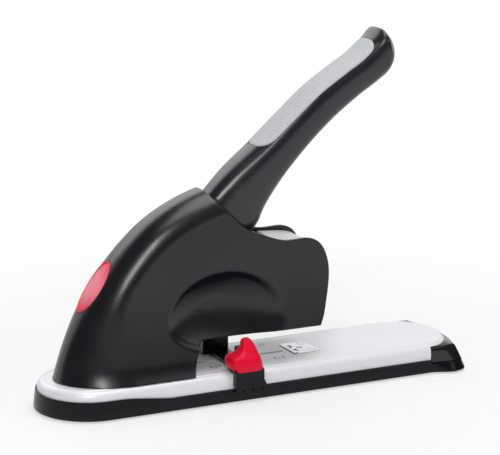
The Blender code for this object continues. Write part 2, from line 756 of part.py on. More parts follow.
def make_base_chassis():
    half = CHASSIS_HALF_WIDTH
    inner = half - CHASSIS_SHEET
    under = CHASSIS_TOP - CHASSIS_SHEET
    section = [(-half, CHASSIS_FLOOR), (-inner, CHASSIS_FLOOR), (-inner, under), (inner, under)]
    section += [(inner, CHASSIS_FLOOR), (half, CHASSIS_FLOOR), (half, CHASSIS_TOP), (-half, CHASSIS_TOP)]
    chassis = bar("base_chassis", section, CHASSIS_START_X, CHASSIS_END_X)
    for x, y in frame_bolt_places():
        cut(chassis, rod_z("bolt_hole", (x, y), FRAME_BOLT_RADIUS + GAP, 0, DECK_TOP, 12))
    for x, y in base_screw_places():
        cut(chassis, rod_z("screw_hole", (x, y), BASE_SCREW_RADIUS + GAP, 0, DECK_TOP, 12))
    for y in (-ANVIL_SCREW_Y, ANVIL_SCREW_Y):
        hole = rod_z("anvil_hole", (ANVIL_SCREW_X, y), ANVIL_SCREW_RADIUS + GAP, 0, DECK_TOP, 12)
        cut(chassis, hole)
    return finish(chassis, DARK_STEEL)


def make_anvil():
    plate = anvil_box("anvil_plate", 0, ANVIL_TOP)
    for side in (-1, 1):
        pocket_y = side * ANVIL_POCKET_Y
        half = ANVIL_POCKET_LENGTH / 2
        start = (ANVIL_POCKET_X - ANVIL_POCKET_WIDTH / 2, pocket_y - half, ANVIL_TOP - ANVIL_POCKET_DEPTH)
        end = (ANVIL_POCKET_X + ANVIL_POCKET_WIDTH / 2, pocket_y + half, ANVIL_TOP + OVERRUN)
        cut(plate, box("pocket", start, end))
        place = (ANVIL_SCREW_X, side * ANVIL_SCREW_Y)
        sink = ANVIL_TOP - ANVIL_SCREW_HEAD - GAP
        cut(plate, rod_z("screw_sink", place, ANVIL_SCREW_HEAD_RADIUS + GAP, sink, DECK_TOP + OVERRUN, 16))
        cut(plate, rod_z("screw_hole", place, ANVIL_SCREW_RADIUS + GAP, 0, DECK_TOP + OVERRUN, 12))
        name = "anvil_screw_near" if side < 0 else "anvil_screw_far"
        screw = rod_z(name, place, ANVIL_SCREW_HEAD_RADIUS, ANVIL_TOP - ANVIL_SCREW_HEAD, ANVIL_TOP, 16)
        join(screw, rod_z("shank", place, ANVIL_SCREW_RADIUS, ANVIL_SCREW_END, ANVIL_TOP - GAP, 12))
        finish(screw, STEEL)
    return finish(plate, STEEL)


def make_rubber_feet():
    for number, place in enumerate(foot_places(), 1):
        foot = rod_z(f"rubber_foot_{number}", place, FOOT_RADIUS, 0, FOOT_HEIGHT, 28)
        finish(foot, RUBBER)


def make_base_screws():
    for number, place in enumerate(base_screw_places(), 1):
        head_top = SKIRT_BOTTOM + BASE_SCREW_HEAD
        screw = rod_z(f"base_screw_{number}", place, BASE_SCREW_HEAD_RADIUS, SKIRT_BOTTOM, head_top, 16)
        join(screw, rod_z("shank", place, BASE_SCREW_RADIUS, SKIRT_BOTTOM + GAP, CHASSIS_TOP, 12))
        finish(screw, DARK_STEEL)


def make_frame_bolts():
    head_bottom = FRAME_FOOT + FRAME_SHEET + GAP
    for number, place in enumerate(frame_bolt_places(), 1):
        top = head_bottom + FRAME_BOLT_HEAD
        bolt = rod_z(f"frame_bolt_{number}", place, FRAME_BOLT_HEAD_RADIUS, head_bottom, top, 6)
        join(bolt, rod_z("shank", place, FRAME_BOLT_RADIUS, FRAME_BOLT_END, top - GAP, 12))
        finish(bolt, DARK_STEEL)


def housing_half_width(z):
    """Half the housing's width at height z: straight above, flared towards the foot."""
    below = max(0, (HOUSING_FLARE_TOP - z) / HOUSING_FLARE_HEIGHT)
    near_foot = max(0, (HOUSING_FOOT + HOUSING_SPLAY_HEIGHT - z) / HOUSING_SPLAY_HEIGHT)
    return HOUSING_TOP_HALF_WIDTH + HOUSING_FLARE * below**2 + HOUSING_SPLAY * near_foot**2


def back_radius(turn):
    """The radius of the housing's back at this turn about its centre."""
    fall = max(0, (BACK_FALL_START - turn) / (BACK_FALL_START - BACK_FALL_END))
    return BACK_RADIUS - BACK_FALL * fall**BACK_FALL_POWER


def back_place(turn, radius):
    return (BACK_CENTRE[0] + radius * math.cos(turn), BACK_CENTRE[1] + radius * math.sin(turn))


def corner_of(turn):
    """Depth of the back's rounded corner at this turn, and the share of the half width that it takes."""
    crown = back_place(turn, back_radius(turn))[1]
    share = eased((crown - HOUSING_FOOT) / CORNER_BLEND_HEIGHT)
    return mix(CORNER_FOOT_DEPTH, CORNER_TOP_DEPTH, share), mix(1, CORNER_TOP_SHARE, share)


def skin_half_width(x, z):
    """Where the housing's outer side is at this place of the side view."""
    across = x - BACK_CENTRE[0]
    up = z - BACK_CENTRE[1]
    turn = math.atan2(up, across)
    depth, corner = corner_of(turn)
    into = (math.hypot(across, up) - back_radius(turn) + depth) / depth
    half = housing_half_width(z)
    if into <= 0:
        return half
    return half * (1 - corner + corner * math.sqrt(max(0, 1 - into**2)))


def skin_radius(turn, y):
    """How far from the back's centre the housing's outer skin is at this turn and this y."""
    depth, corner = corner_of(turn)
    radius = back_radius(turn)
    half = housing_half_width(back_place(turn, radius)[1])
    flat = half * (1 - corner)
    over = max(0, abs(y) - flat) / (half - flat)
    return radius - depth * (1 - math.sqrt(max(0, 1 - over**2)))


def housing_ring(turn, inset):
    """A section of the housing in the plane through the back's centre at this turn."""
    depth, corner = corner_of(turn)
    crown = back_radius(turn)
    side = []
    for step in range(4):
        radius = mix(HOUSING_CORE_RADIUS, crown - depth, step / 4)
        side.append((radius, housing_half_width(back_place(turn, radius)[1]) - inset))
    for step in range(8):
        roll = math.pi / 2 * step / 7
        radius = crown - depth + (depth - inset) * math.sin(roll)
        half = housing_half_width(back_place(turn, radius)[1])
        flat = half * (1 - corner)
        side.append((radius, flat + (half - inset - flat) * math.cos(roll)))
    if side[-1][1] < GAP:
        side[-1] = (side[-1][0], GAP)
    ring = []
    for radius, y in side + [(radius, -y) for radius, y in reversed(side)]:
        x, z = back_place(turn, radius)
        ring.append((x, y, z))
    return ring


def housing_body(name, inset, steps):
    turns = [mix(FAN_START, FAN_END, step / steps) for step in range(steps + 1)]
    return loft(name, [housing_ring(turn, inset) for turn in turns])


def housing_outline():
    """The housing from the side: foot, leg, throat, front hump and the cut line up to the crest."""
    outside = BACK_CENTRE[0] - BACK_RADIUS - OVERRUN
    above = CREST[1] + 2 * OVERRUN
    outline = [(outside, HOUSING_FOOT)]
    outline += reversed(curve_through(LEG_FRONT, 2))
    outline.append((THROAT_END_X, THROAT_TOP))
    outline += reversed(curve_through((CREST, *CUT_LINE), 4))
    outline += [(CREST[0], above), (outside, above)]
    return outline


def hollow_outline():
    """The room inside the shells: open below the foot, over the throat, at the front and along the cut."""
    outside = BACK_CENTRE[0] - BACK_RADIUS - OVERRUN
    beyond = HOUSING_REACH
    inner_leg = [(x - HOUSING_WALL, z) for x, z in reversed(LEG_FRONT)]
    below = HOUSING_FOOT - OVERRUN
    outline = [(outside, below), (inner_leg[0][0], below), *inner_leg]
    ceiling = THROAT_TOP + HOUSING_WALL
    outline += [(THROAT_END_X - HOUSING_WALL, ceiling), (THROAT_END_X, ceiling)]
    outline += [(THROAT_END_X, THROAT_TOP - OVERRUN), (beyond, THROAT_TOP - OVERRUN)]
    above = CREST[1] + 3 * OVERRUN
    return outline + [(beyond, above), (outside, above)]


def scoop_ring(scale, shift, deep, side, grow, sides):
    """One ring of the scoop: half ellipses above and below its middle, sunk below the housing's side."""
    ring = []
    middle_x = SCOOP_CENTRE[0] + SCOOP_SHIFT[0] * shift
    middle_z = SCOOP_CENTRE[1] + SCOOP_SHIFT[1] * shift
    for step in range(sides):
        turn = math.tau * step / sides
        x = middle_x + (SCOOP_HALF_LENGTH * scale + grow) * math.cos(turn)
        reach = SCOOP_RISE if math.sin(turn) > 0 else SCOOP_DROP
        z = middle_z + (reach * scale + grow) * math.sin(turn)
        ring.append((x, side * (housing_half_width(z) - deep - grow), z))
    return ring


def scoop_cutter(name, side, grow, sides):
    rings = [scoop_ring(1, 0, deep, side, grow, sides) for deep in (-2 * OVERRUN, 0)]
    for step in range(1, SCOOP_SLOPE_STEPS + 1):
        share = step / SCOOP_SLOPE_STEPS
        deep = SCOOP_DEPTH * share**SCOOP_SLOPE_POWER
        rings.append(scoop_ring(mix(1, SCOOP_FLOOR_SHARE, share), share, deep, side, grow, sides))
    rings.append(scoop_ring(SCOOP_FLOOR_SHARE / 2, 1, SCOOP_DEPTH, side, grow, sides))
    return loft(name, rings)


def root_room():
    """Room for the handle's round root under the crest."""
    half = ROOT_HALF_WIDTH + ROOT_CLEARANCE
    return rod_y("root_room", HANDLE_PIVOT, ROOT_RADIUS + ROOT_CLEARANCE, -half, half, 40)


def make_housing():
    body = housing_body("housing_shell_far", 0, 22)
    reach = SKIRT_HALF_WIDTH + OVERRUN
    keep_inside(body, prism("side_view", housing_outline(), -reach, reach))
    hollow = housing_body("hollow", HOUSING_WALL, 12)
    keep_inside(hollow, prism("hollow_view", hollow_outline(), -reach, reach))
    for side in (-1, 1):
        cut(body, scoop_cutter("scoop", side, 0, SCOOP_SIDES))
        cut(hollow, scoop_cutter("scoop_wall", side, HOUSING_WALL, SCOOP_WALL_SIDES))
    cut(body, hollow, root_room(), badge_solid("badge_seat", GAP, 2 * OVERRUN))
    slot_low = (LEG_FRONT[-1][0] - 2 * HOUSING_WALL, -MAGAZINE_SLOT_HALF_WIDTH, MAGAZINE_SLOT_BOTTOM)
    slot_high = (THROAT_END_X + OVERRUN, MAGAZINE_SLOT_HALF_WIDTH, THROAT_TOP + 2 * HOUSING_WALL)
    cut(body, box("magazine_slot", slot_low, slot_high))
    near = body.copy()
    near.data = body.data.copy()
    near.name = "housing_shell_near"
    bpy.context.scene.collection.objects.link(near)
    long = 2 * BACK_RADIUS
    cut(near, box("far_half", (-long, -SEAM_HALF_GAP, -long), (long, reach, long)))
    cut(body, box("near_half", (-long, -reach, -long), (long, SEAM_HALF_GAP, long)))
    for x, z in SPACER_PLACES:
        surface = skin_half_width(x, z)
        start = -surface + HOUSING_WALL / 2
        join(near, rod_y("boss", (x, z), BOSS_RADIUS, start, -BOSS_START_Y, 16))
        cut(near, rod_y("boss_hole", (x, z), SCREW_RADIUS + GAP, start + 2 * GAP, 0, 12))
        seat = surface - SCREW_SINK - SCREW_HEAD
        join(body, rod_y("boss", (x, z), BOSS_RADIUS, BOSS_START_Y, surface - HOUSING_WALL / 2, 16))
        cut(body, rod_y("sink", (x, z), SCREW_HEAD_RADIUS + GAP, seat - GAP, surface + OVERRUN, 16))
        cut(body, rod_y("hole", (x, z), SCREW_RADIUS + GAP, 0, surface, 12))
    finish(near, CHARCOAL)
    finish(body, CHARCOAL)


def badge_ring(scale, grow, rise):
    """An oval ring on the housing's back, raised over its skin."""
    middle = math.pi - math.asin((BADGE_Z - BACK_CENTRE[1]) / BACK_RADIUS)
    ring = []
    for step in range(BADGE_SIDES):
        roll = math.tau * step / BADGE_SIDES
        along = (BADGE_HALF_LENGTH + grow) * scale * math.cos(roll)
        y = (BADGE_HALF_WIDTH + grow) * scale * math.sin(roll)
        turn = middle + along / BACK_RADIUS
        x, z = back_place(turn, skin_radius(turn, y) + rise)
        ring.append((x, y, z))
    return ring


def badge_solid(name, grow, rise):
    """The badge with a raised rim round a sunk field, or the plain form of its seat where it is grown."""
    rings = [badge_ring(share, grow, -BADGE_SEAT - grow) for share in BADGE_SEAT_SHARES]
    if grow:
        rings += [badge_ring(share, grow, rise) for share in reversed(BADGE_SEAT_SHARES)]
        return loft(name, rings)
    rings.append(badge_ring(1, grow, rise / 2))
    rings += [badge_ring(share, grow, rise) for share in BADGE_RIM_SHARES]
    rings += [badge_ring(share, grow, rise * height_share) for share, height_share in BADGE_FIELD_SHARES]
    return loft(name, rings)


def make_rear_badge():
    return finish(badge_solid("rear_badge", 0, BADGE_RISE), RED_PLASTIC)


def make_front_inner_cover():
    outer = curve_through(COVER_LINE, 4)
    inner = []
    for i, (x, z) in enumerate(outer):
        before = outer[max(i - 1, 0)]
        after = outer[min(i + 1, len(outer) - 1)]
        along = Vector((after[0] - before[0], after[1] - before[1])).normalized()
        inner.append((x + along.y * COVER_SHEET, z - along.x * COVER_SHEET))
    cover = prism("front_inner_cover", outer + inner[::-1], -COVER_HALF_WIDTH, COVER_HALF_WIDTH)
    return finish(cover, SILVER_PAINT)


def frame_outline():
    start = math.pi - math.asin((FRAME_FOOT - BACK_CENTRE[1]) / FRAME_REAR_RADIUS)
    end = math.pi - math.asin((FRAME_BACK_TOP - BACK_CENTRE[1]) / FRAME_REAR_RADIUS)
    outline = arc(BACK_CENTRE, FRAME_REAR_RADIUS, start, end, 12)
    outline += arc(HANDLE_PIVOT, FRAME_HUB_RADIUS, math.radians(130), math.radians(50), 8)
    return outline + list(FRAME_FRONT)


def make_frame_plate(side):
    outer = FRAME_HALF_GAP + FRAME_SHEET
    low, high = sorted((side * FRAME_HALF_GAP, side * outer))
    name = "frame_plate_near" if side < 0 else "frame_plate_far"
    plate = prism(name, frame_outline(), low, high)
    flange_low, flange_high = sorted((side * (outer - FRAME_SHEET / 2), side * (outer + FRAME_FLANGE_WIDTH)))
    top = FRAME_FOOT + FRAME_SHEET
    start = (FRAME_FLANGE_START_X, flange_low, FRAME_FOOT)
    join(plate, box("flange", start, (FRAME_FLANGE_END_X, flange_high, top)))
    beyond = outer + OVERRUN
    cut(plate, rod_y("bush_hole", HANDLE_PIVOT, BUSH_RADIUS + GAP, -beyond, beyond))
    cut(plate, rod_y("pin_hole", MAGAZINE_PIVOT, MAGAZINE_PIN_RADIUS + GAP, -beyond, beyond))
    for place in SPACER_PLACES:
        cut(plate, rod_y("screw_hole", place, SCREW_RADIUS + GAP, -beyond, beyond, 12))
    for x, y in frame_bolt_places():
        cut(plate, rod_z("bolt_hole", (x, y), FRAME_BOLT_RADIUS + GAP, 0, top + OVERRUN, 12))
    return finish(plate, STEEL)


def make_frame_spacers():
    half = FRAME_HALF_GAP - GAP
    for number, place in enumerate(SPACER_PLACES, 1):
        spacer = rod_y(f"frame_spacer_{number}", place, SPACER_RADIUS, -half, half)
        cut(spacer, rod_y("bore", place, SCREW_RADIUS + GAP, -half - OVERRUN, half + OVERRUN, 12))
        finish(spacer, STEEL)


def make_shell_screws():
    for number, (x, z) in enumerate(SPACER_PLACES, 1):
        surface = skin_half_width(x, z)
        top = surface - SCREW_SINK
        screw = rod_y(f"shell_screw_{number}", (x, z), SCREW_HEAD_RADIUS, top - SCREW_HEAD, top, 16)
        end = -surface + HOUSING_WALL / 2 + 3 * GAP
        join(screw, rod_y("shank", (x, z), SCREW_RADIUS, end, top - GAP, 12))
        finish(screw, DARK_STEEL)


def make_pins():
    outer = FRAME_HALF_GAP + FRAME_SHEET
    end = outer + 2 * GAP + PIVOT_HEAD
    pin = rod_y("handle_pivot_pin", HANDLE_PIVOT, PIVOT_RADIUS, -end, end)
    for side in (-1, 1):
        low, high = sorted((side * (outer + 2 * GAP), side * end))
        join(pin, rod_y("head", HANDLE_PIVOT, PIVOT_HEAD_RADIUS, low, high))
        low, high = sorted((side * (FRAME_HALF_GAP - GAP), side * (outer + GAP)))
        name = "pivot_bush_near" if side < 0 else "pivot_bush_far"
        bush = rod_y(name, HANDLE_PIVOT, BUSH_RADIUS, low, high)
        cut(bush, rod_y("bore", HANDLE_PIVOT, PIVOT_RADIUS + GAP, -end, end))
        finish(bush, BRASS)
    finish(pin, STEEL)
    end = outer + GAP
    pin = rod_y("magazine_pivot_pin", MAGAZINE_PIVOT, MAGAZINE_PIN_RADIUS, -end, end)
    for side in (-1, 1):
        low, high = sorted((side * (MAGAZINE_HALF_WIDTH + GAP), side * (FRAME_HALF_GAP - GAP)))
        join(pin, rod_y("collar", MAGAZINE_PIVOT, MAGAZINE_COLLAR_RADIUS, low, high))
    finish(pin, STEEL)


def make_spring_bridge():
    low = (SPRING_X - BRIDGE_HALF_LENGTH, -FRAME_HALF_GAP + GAP, BRIDGE_BOTTOM)
    high = (SPRING_X + BRIDGE_HALF_LENGTH, FRAME_HALF_GAP - GAP, BRIDGE_BOTTOM + BRIDGE_SHEET)
    return finish(box("spring_bridge", low, high), STEEL)


def make_return_spring():
    bottom = LEVER_TAIL_TOP + GAP
    length = BRIDGE_BOTTOM - GAP - bottom
    spring = coil("return_spring", SPRING_RADIUS, SPRING_WIRE_RADIUS, SPRING_TURNS, length)
    finish(spring, STEEL)
    spring.location = (SPRING_X, 0, bottom)
    return spring


def lever_parts(grow):
    """The steel lever's bars, each grown all round by the same amount."""
    half = LEVER_HALF_THICKNESS + grow
    hub = LEVER_HUB_RADIUS + grow
    parts = [
        link("nose_arm", HANDLE_PIVOT, hub, LEVER_HEEL, LEVER_HEEL_RADIUS + grow, half),
        link("nose", LEVER_HEEL, LEVER_HEEL_RADIUS + grow, LEVER_NOSE, LEVER_NOSE_RADIUS + grow, half),
        link("grip_arm", HANDLE_PIVOT, hub, LEVER_TIP, LEVER_TIP_RADIUS + grow, half),
    ]
    low = (SPRING_X - LEVER_TAIL_HALF_LENGTH - grow, -half, LEVER_TAIL_TOP - LEVER_TAIL_DEPTH - grow)
    parts.append(box("tail", low, (HANDLE_PIVOT[0], half, LEVER_TAIL_TOP + grow)))
    return parts


def make_handle_core_lever(pivot):
    half = LEVER_HALF_THICKNESS
    lever = rod_y("handle_core_lever", HANDLE_PIVOT, LEVER_HUB_RADIUS + GAP, -half, half, 24)
    join(lever, *lever_parts(0))
    beyond = half + OVERRUN
    cut(lever, rod_y("bore", HANDLE_PIVOT, PIVOT_RADIUS + GAP, -beyond, beyond))
    return finish(lever, STEEL, pivot)


def handle_frame(share):
    """Middle, up direction, half depth and half width of the handle at a share of its stations."""
    last = len(HANDLE_STATIONS) - 1
    place = min(max(share, 0), 1) * last
    i = min(int(place), last - 1)
    near = (HANDLE_STATIONS[min(max(j, 0), last)] for j in (i - 1, i, i + 1, i + 2))
    upper_x, upper_z, lower_x, lower_z, half_width = spline_point(*near, place - i)
    upper = Vector((upper_x, 0, upper_z))
    lower = Vector((lower_x, 0, lower_z))
    depth = upper - lower
    return (upper + lower) / 2, depth.normalized(), depth.length / 2, half_width


def rounded(value, squareness):
    """Pulls a cosine or sine outwards, so that a circle turns into a rounded square."""
    return math.copysign(abs(value) ** (2 / squareness), value)


def handle_ring(share):
    middle, up, half_depth, half_width = handle_frame(share)
    ring = []
    for step in range(HANDLE_SIDES):
        roll = math.tau * step / HANDLE_SIDES
        height = half_depth * rounded(math.sin(roll), HANDLE_SQUARENESS)
        y = half_width * rounded(math.cos(roll), HANDLE_SQUARENESS)
        ring.append(middle + up * height + Vector((0, y, 0)))
    return ring


def inlay_outline(scale, grow):
    """The inlay's outline along the handle and across it: straight sides with blunt round ends."""
    straight = INLAY_HALF_LENGTH - INLAY_HALF_WIDTH
    radius = (INLAY_HALF_WIDTH + grow) * scale
    half = []
    for x, y in arc((0, 0), 1, -math.pi / 2, math.pi / 2, 8):
        blunt = rounded(x, HANDLE_SQUARENESS)
        half.append((straight * scale + radius * blunt, radius * rounded(y, HANDLE_SQUARENESS)))
    for step in range(1, 7):
        half.append((straight * scale * (1 - 2 * step / 7), radius))
    return half + [(-x, -y) for x, y in half]


def inlay_ring(scale, grow, rise):
    """The inlay's outline laid on the handle's top face, raised over it."""
    ring = []
    for along, y in inlay_outline(scale, grow):
        spread = (along / INLAY_HALF_LENGTH + 1) / 2
        middle, up, half_depth, half_width = handle_frame(mix(INLAY_START_SHARE, INLAY_END_SHARE, spread))
        over = half_depth * (1 - abs(y / half_width) ** HANDLE_SQUARENESS) ** (1 / HANDLE_SQUARENESS)
        ring.append(middle + up * (over + rise) + Vector((0, y, 0)))
    return ring


def inlay_solid(name, grow, rise):
    rings = [inlay_ring(scale, grow, -INLAY_DEPTH - 2 * grow) for scale in (*INLAY_INNER_SHARES, 1)]
    if grow:
        rings.append(inlay_ring(1, grow, rise))
    else:
        rings += [inlay_ring(1, 0, 0), inlay_ring(INLAY_EDGE_SHARE, 0, rise)]
    rings += [inlay_ring(scale, grow, rise) for scale in reversed(INLAY_INNER_SHARES)]
    return loft(name, rings)


def make_handle_body(pivot):
    rings = [handle_ring(step / HANDLE_STEPS) for step in range(HANDLE_STEPS + 1)]
    handle = loft("handle_body", rings)
    root = [HANDLE_PIVOT, *arc(HANDLE_PIVOT, ROOT_RADIUS, ROOT_LOW_ANGLE, ROOT_HIGH_ANGLE, 24)]
    join(handle, prism("root", root, -ROOT_HALF_WIDTH, ROOT_HALF_WIDTH))
    half = FRAME_HALF_GAP - 2 * GAP
    join(handle, rod_y("root_boss", HANDLE_PIVOT, ROOT_BOSS_RADIUS, -half, half, 32))
    half = LEVER_HALF_THICKNESS + GAP
    cut(handle, rod_y("hub_room", HANDLE_PIVOT, LEVER_HUB_RADIUS + 2 * GAP, -half, half, 32))
    cut(handle, *lever_parts(GAP))
    cut(handle, rod_y("bore", HANDLE_PIVOT, PIVOT_RADIUS + GAP, -ROOT_RADIUS, ROOT_RADIUS))
    cut(handle, inlay_solid("inlay_seat", GAP, OVERRUN))
    return finish(handle, BLACK_PLASTIC, pivot)


def make_handle_grip_inlay(pivot):
    return finish(inlay_solid("handle_grip_inlay", 0, INLAY_RISE), GREY_INLAY, pivot)


def make_magazine_channel(pivot):
    outline = [
        (MAGAZINE_START_X, MAGAZINE_BOTTOM), (MAGAZINE_END_X, MAGAZINE_BOTTOM),
        (MAGAZINE_END_X, MAGAZINE_TOP), (MAGAZINE_START_X, MAGAZINE_TOP),
    ]
    half = MAGAZINE_HALF_WIDTH
    channel = prism("magazine_channel", outline, -half, half)
    join(channel, rod_y("hub", MAGAZINE_PIVOT, MAGAZINE_HUB_RADIUS, -half, half, 32))
    inner = half - MAGAZINE_SHEET
    floor = MAGAZINE_BOTTOM + MAGAZINE_SHEET
    over = MAGAZINE_TOP + OVERRUN
    rear = MAGAZINE_PIVOT[0] - MAGAZINE_HUB_RADIUS - OVERRUN
    low = (RAIL_START_X - OVERRUN, -inner, floor)
    cut(channel, box("inside", low, (MAGAZINE_END_X + OVERRUN, inner, over)))
    cut(channel, box("rear_room", (rear, -inner, 0), (RAIL_START_X - OVERRUN / 2, inner, over)))
    cut(channel, box("staple_gate", (MAGAZINE_FLOOR_END_X, -inner, 0), (FRONT_PLATE_END_X, inner, over)))
    cut(channel, rod_y("bore", MAGAZINE_PIVOT, MAGAZINE_PIN_RADIUS + GAP, -FRAME_HALF_GAP, FRAME_HALF_GAP))
    return finish(channel, STEEL, pivot)


def make_magazine_front_plate(pivot):
    low = (FRONT_PLATE_START_X, -MAGAZINE_HALF_WIDTH, MAGAZINE_BOTTOM)
    high = (FRONT_PLATE_END_X, MAGAZINE_HALF_WIDTH, MAGAZINE_TOP)
    return finish(box("magazine_front_plate", low, high), STEEL, pivot)


def make_staple_rail(pivot):
    half = RAIL_HALF_WIDTH
    inner = half - MAGAZINE_SHEET
    bottom = MAGAZINE_BOTTOM + MAGAZINE_SHEET + GAP
    floor = bottom + MAGAZINE_SHEET
    section = [(-half, bottom), (half, bottom), (half, RAIL_TOP), (inner, RAIL_TOP), (inner, floor)]
    section += [(-inner, floor), (-inner, RAIL_TOP), (-half, RAIL_TOP)]
    return finish(bar("staple_rail", section, RAIL_START_X, RAIL_END_X - GAP), STEEL, pivot)


def saddle_section():
    """An upside-down U that sits over the rail, as the staples and their follower do."""
    half = STAPLE_HALF_WIDTH
    inner = half - STAPLE_WIRE
    under = STAPLE_TOP - STAPLE_WIRE
    section = [(-half, STAPLE_BOTTOM), (-inner, STAPLE_BOTTOM), (-inner, under), (inner, under)]
    return section + [(inner, STAPLE_BOTTOM), (half, STAPLE_BOTTOM), (half, STAPLE_TOP), (-half, STAPLE_TOP)]


def make_staple_strip(pivot):
    strip = bar("staple_strip", saddle_section(), STAPLE_START_X, STAPLE_END_X)
    return finish(strip, STEEL, pivot)


def make_follower(pivot):
    end = STAPLE_START_X - GAP
    start = end - FOLLOWER_LENGTH
    follower = bar("follower", saddle_section(), start, end)
    half = FOLLOWER_TONGUE_HALF_WIDTH
    tongue_bottom = ROD_Z - half
    join(follower, box("tongue", (start, -half, tongue_bottom), (end, half, STAPLE_TOP - STAPLE_WIRE / 2)))
    finish(follower, BLACK_PLASTIC, pivot)
    rod_end = start - GAP
    rod = rod_x("follower_rod", (0, ROD_Z), ROD_RADIUS, rod_end - ROD_LENGTH, rod_end)
    finish(rod, STEEL, pivot)
    wire_radius = FOLLOWER_SPRING_WIRE_RADIUS
    spring = coil("follower_spring", FOLLOWER_SPRING_RADIUS, wire_radius, FOLLOWER_SPRING_TURNS, ROD_LENGTH)
    spring.rotation_euler = (0, math.pi / 2, 0)
    spring.location = (rod_end - ROD_LENGTH, 0, ROD_Z)
    bpy.context.view_layer.update()
    spring.data.transform(spring.matrix_world)
    spring.rotation_euler = (0, 0, 0)
    spring.location = (0, 0, 0)
    bpy.context.view_layer.update()
    finish(spring, STEEL, pivot)


def make_driver(pivot):
    half = BLADE_HALF_WIDTH
    blade = box("driver_blade", (BLADE_START_X, -half, BLADE_BOTTOM), (BLADE_END_X, half, BLADE_TOP))
    finish(blade, STEEL, pivot)
    web_end = BLADE_START_X - GAP
    under = BLADE_TOP - CARRIAGE_DEPTH
    outline = [(CARRIAGE_START_X, under), (CARRIAGE_WEB_X - CARRIAGE_DEPTH, under)]
    outline += [(CARRIAGE_WEB_X, under - CARRIAGE_DEPTH), (CARRIAGE_WEB_X, CARRIAGE_WEB_BOTTOM)]
    outline.append((web_end, CARRIAGE_WEB_BOTTOM))
    outline += [(web_end, BLADE_TOP), (CARRIAGE_START_X, BLADE_TOP)]
    finish(prism("driver_carriage", outline, -half, half), DARK_STEEL, pivot)


def make_guide_slider(pivot):
    bar_bottom = DECK_TOP + 4 * GAP / 3
    hook = [
        (-GUIDE_FACE_Y, GUIDE_BOTTOM), (-GUIDE_LOWER_INNER_Y, GUIDE_BOTTOM),
        (-GUIDE_LOWER_INNER_Y, GUIDE_STEP), (-GUIDE_UPPER_INNER_Y, GUIDE_STEP + SKIRT_RIM),
        (-GUIDE_UPPER_INNER_Y, bar_bottom), (-GUIDE_UPPER_INNER_Y + DECK_SHOULDER, bar_bottom),
        (-GUIDE_UPPER_INNER_Y + 2 * DECK_SHOULDER, GUIDE_BAR_TOP),
        (-GUIDE_LOWER_INNER_Y, GUIDE_BAR_TOP), (-GUIDE_FACE_Y, GUIDE_BAR_TOP - SKIRT_RIM),
    ]
    slider = bar("guide_slider", hook, GUIDE_LEFT_X, GUIDE_RIGHT_X + GUIDE_FLARE)
    far = GUIDE_RIGHT_X + GUIDE_FLARE + OVERRUN
    side_cut = [(GUIDE_RIGHT_X, GUIDE_BAR_TOP + OVERRUN), (GUIDE_RIGHT_X, GUIDE_STEP + OVERRUN)]
    side_cut += [(GUIDE_RIGHT_X + GUIDE_FLARE, GUIDE_BOTTOM), (far, GUIDE_BOTTOM)]
    side_cut.append((far, GUIDE_BAR_TOP + OVERRUN))
    cut(slider, prism("flare", side_cut, -GUIDE_FACE_Y - OVERRUN, 0))
    span = GUIDE_RIGHT_X - GUIDE_LEFT_X
    for number in range(GUIDE_NOTCHES):
        middle = GUIDE_LEFT_X + span * (number + 1) / GUIDE_NOTCHES - GUIDE_NOTCH_WIDTH
        low = (middle - GUIDE_NOTCH_WIDTH / 2, -GUIDE_FACE_Y - OVERRUN, 0)
        high = (middle + GUIDE_NOTCH_WIDTH / 2, 0, GUIDE_BOTTOM + GUIDE_NOTCH_HEIGHT)
        cut(slider, box("notch", low, high))
    low = (GUIDE_BAR_START_X, -GUIDE_UPPER_INNER_Y - SKIRT_RIM, bar_bottom)
    join(slider, box("cross_bar", low, (GUIDE_BAR_END_X, GUIDE_FAR_Y, GUIDE_BAR_TOP)))
    join(slider, prism("far_post", post_outline(bar_bottom), POST_INNER_Y, GUIDE_FAR_Y - GAP))
    low = (POST_NEAR_START_X, -POST_NEAR_OUTER_Y, bar_bottom + GAP)
    join(slider, box("near_post", low, (POST_NEAR_END_X, -POST_INNER_Y, POST_NEAR_TOP)))
    axis_y, axis_z = KNOB_AXIS
    lug = [(axis_y - LUG_HALF_DEPTH, bar_bottom + GAP), (axis_y + LUG_HALF_DEPTH, bar_bottom + GAP)]
    lug += arc((axis_y, axis_z), LUG_HALF_DEPTH, 0, math.pi, 10)
    join(slider, bar("lug", lug, LUG_START_X, LUG_END_X))
    cut(slider, rod_x("lug_bore", KNOB_AXIS, KNOB_PIN_RADIUS + GAP, LUG_START_X - GAP, LUG_END_X + GAP))
    place = (GUIDE_PIN_X, SLOT_Y)
    stem_bottom = GUIDE_NUT_BOTTOM + GAP
    join(slider, rod_z("stem", place, GUIDE_PIN_RADIUS, stem_bottom, bar_bottom + GAP, 12))
    finish(slider, BLACK_PLASTIC, pivot)
    nut = rod_z("guide_nut", place, GUIDE_NUT_RADIUS, GUIDE_NUT_BOTTOM, GUIDE_NUT_TOP, 6)
    cut(nut, rod_z("bore", place, GUIDE_PIN_RADIUS + GAP, 0, DECK_TOP, 12))
    finish(nut, STEEL, pivot)


def post_outline(bottom):
    """The far post from the side, with its rear top corner rounded."""
    middle = (POST_FAR_START_X + POST_ROUNDING, POST_FAR_TOP - POST_ROUNDING)
    outline = [(POST_FAR_START_X, bottom), (POST_FAR_END_X, bottom), (POST_FAR_END_X, POST_FAR_TOP)]
    return outline + arc(middle, POST_ROUNDING, math.pi / 2, math.pi, 8)


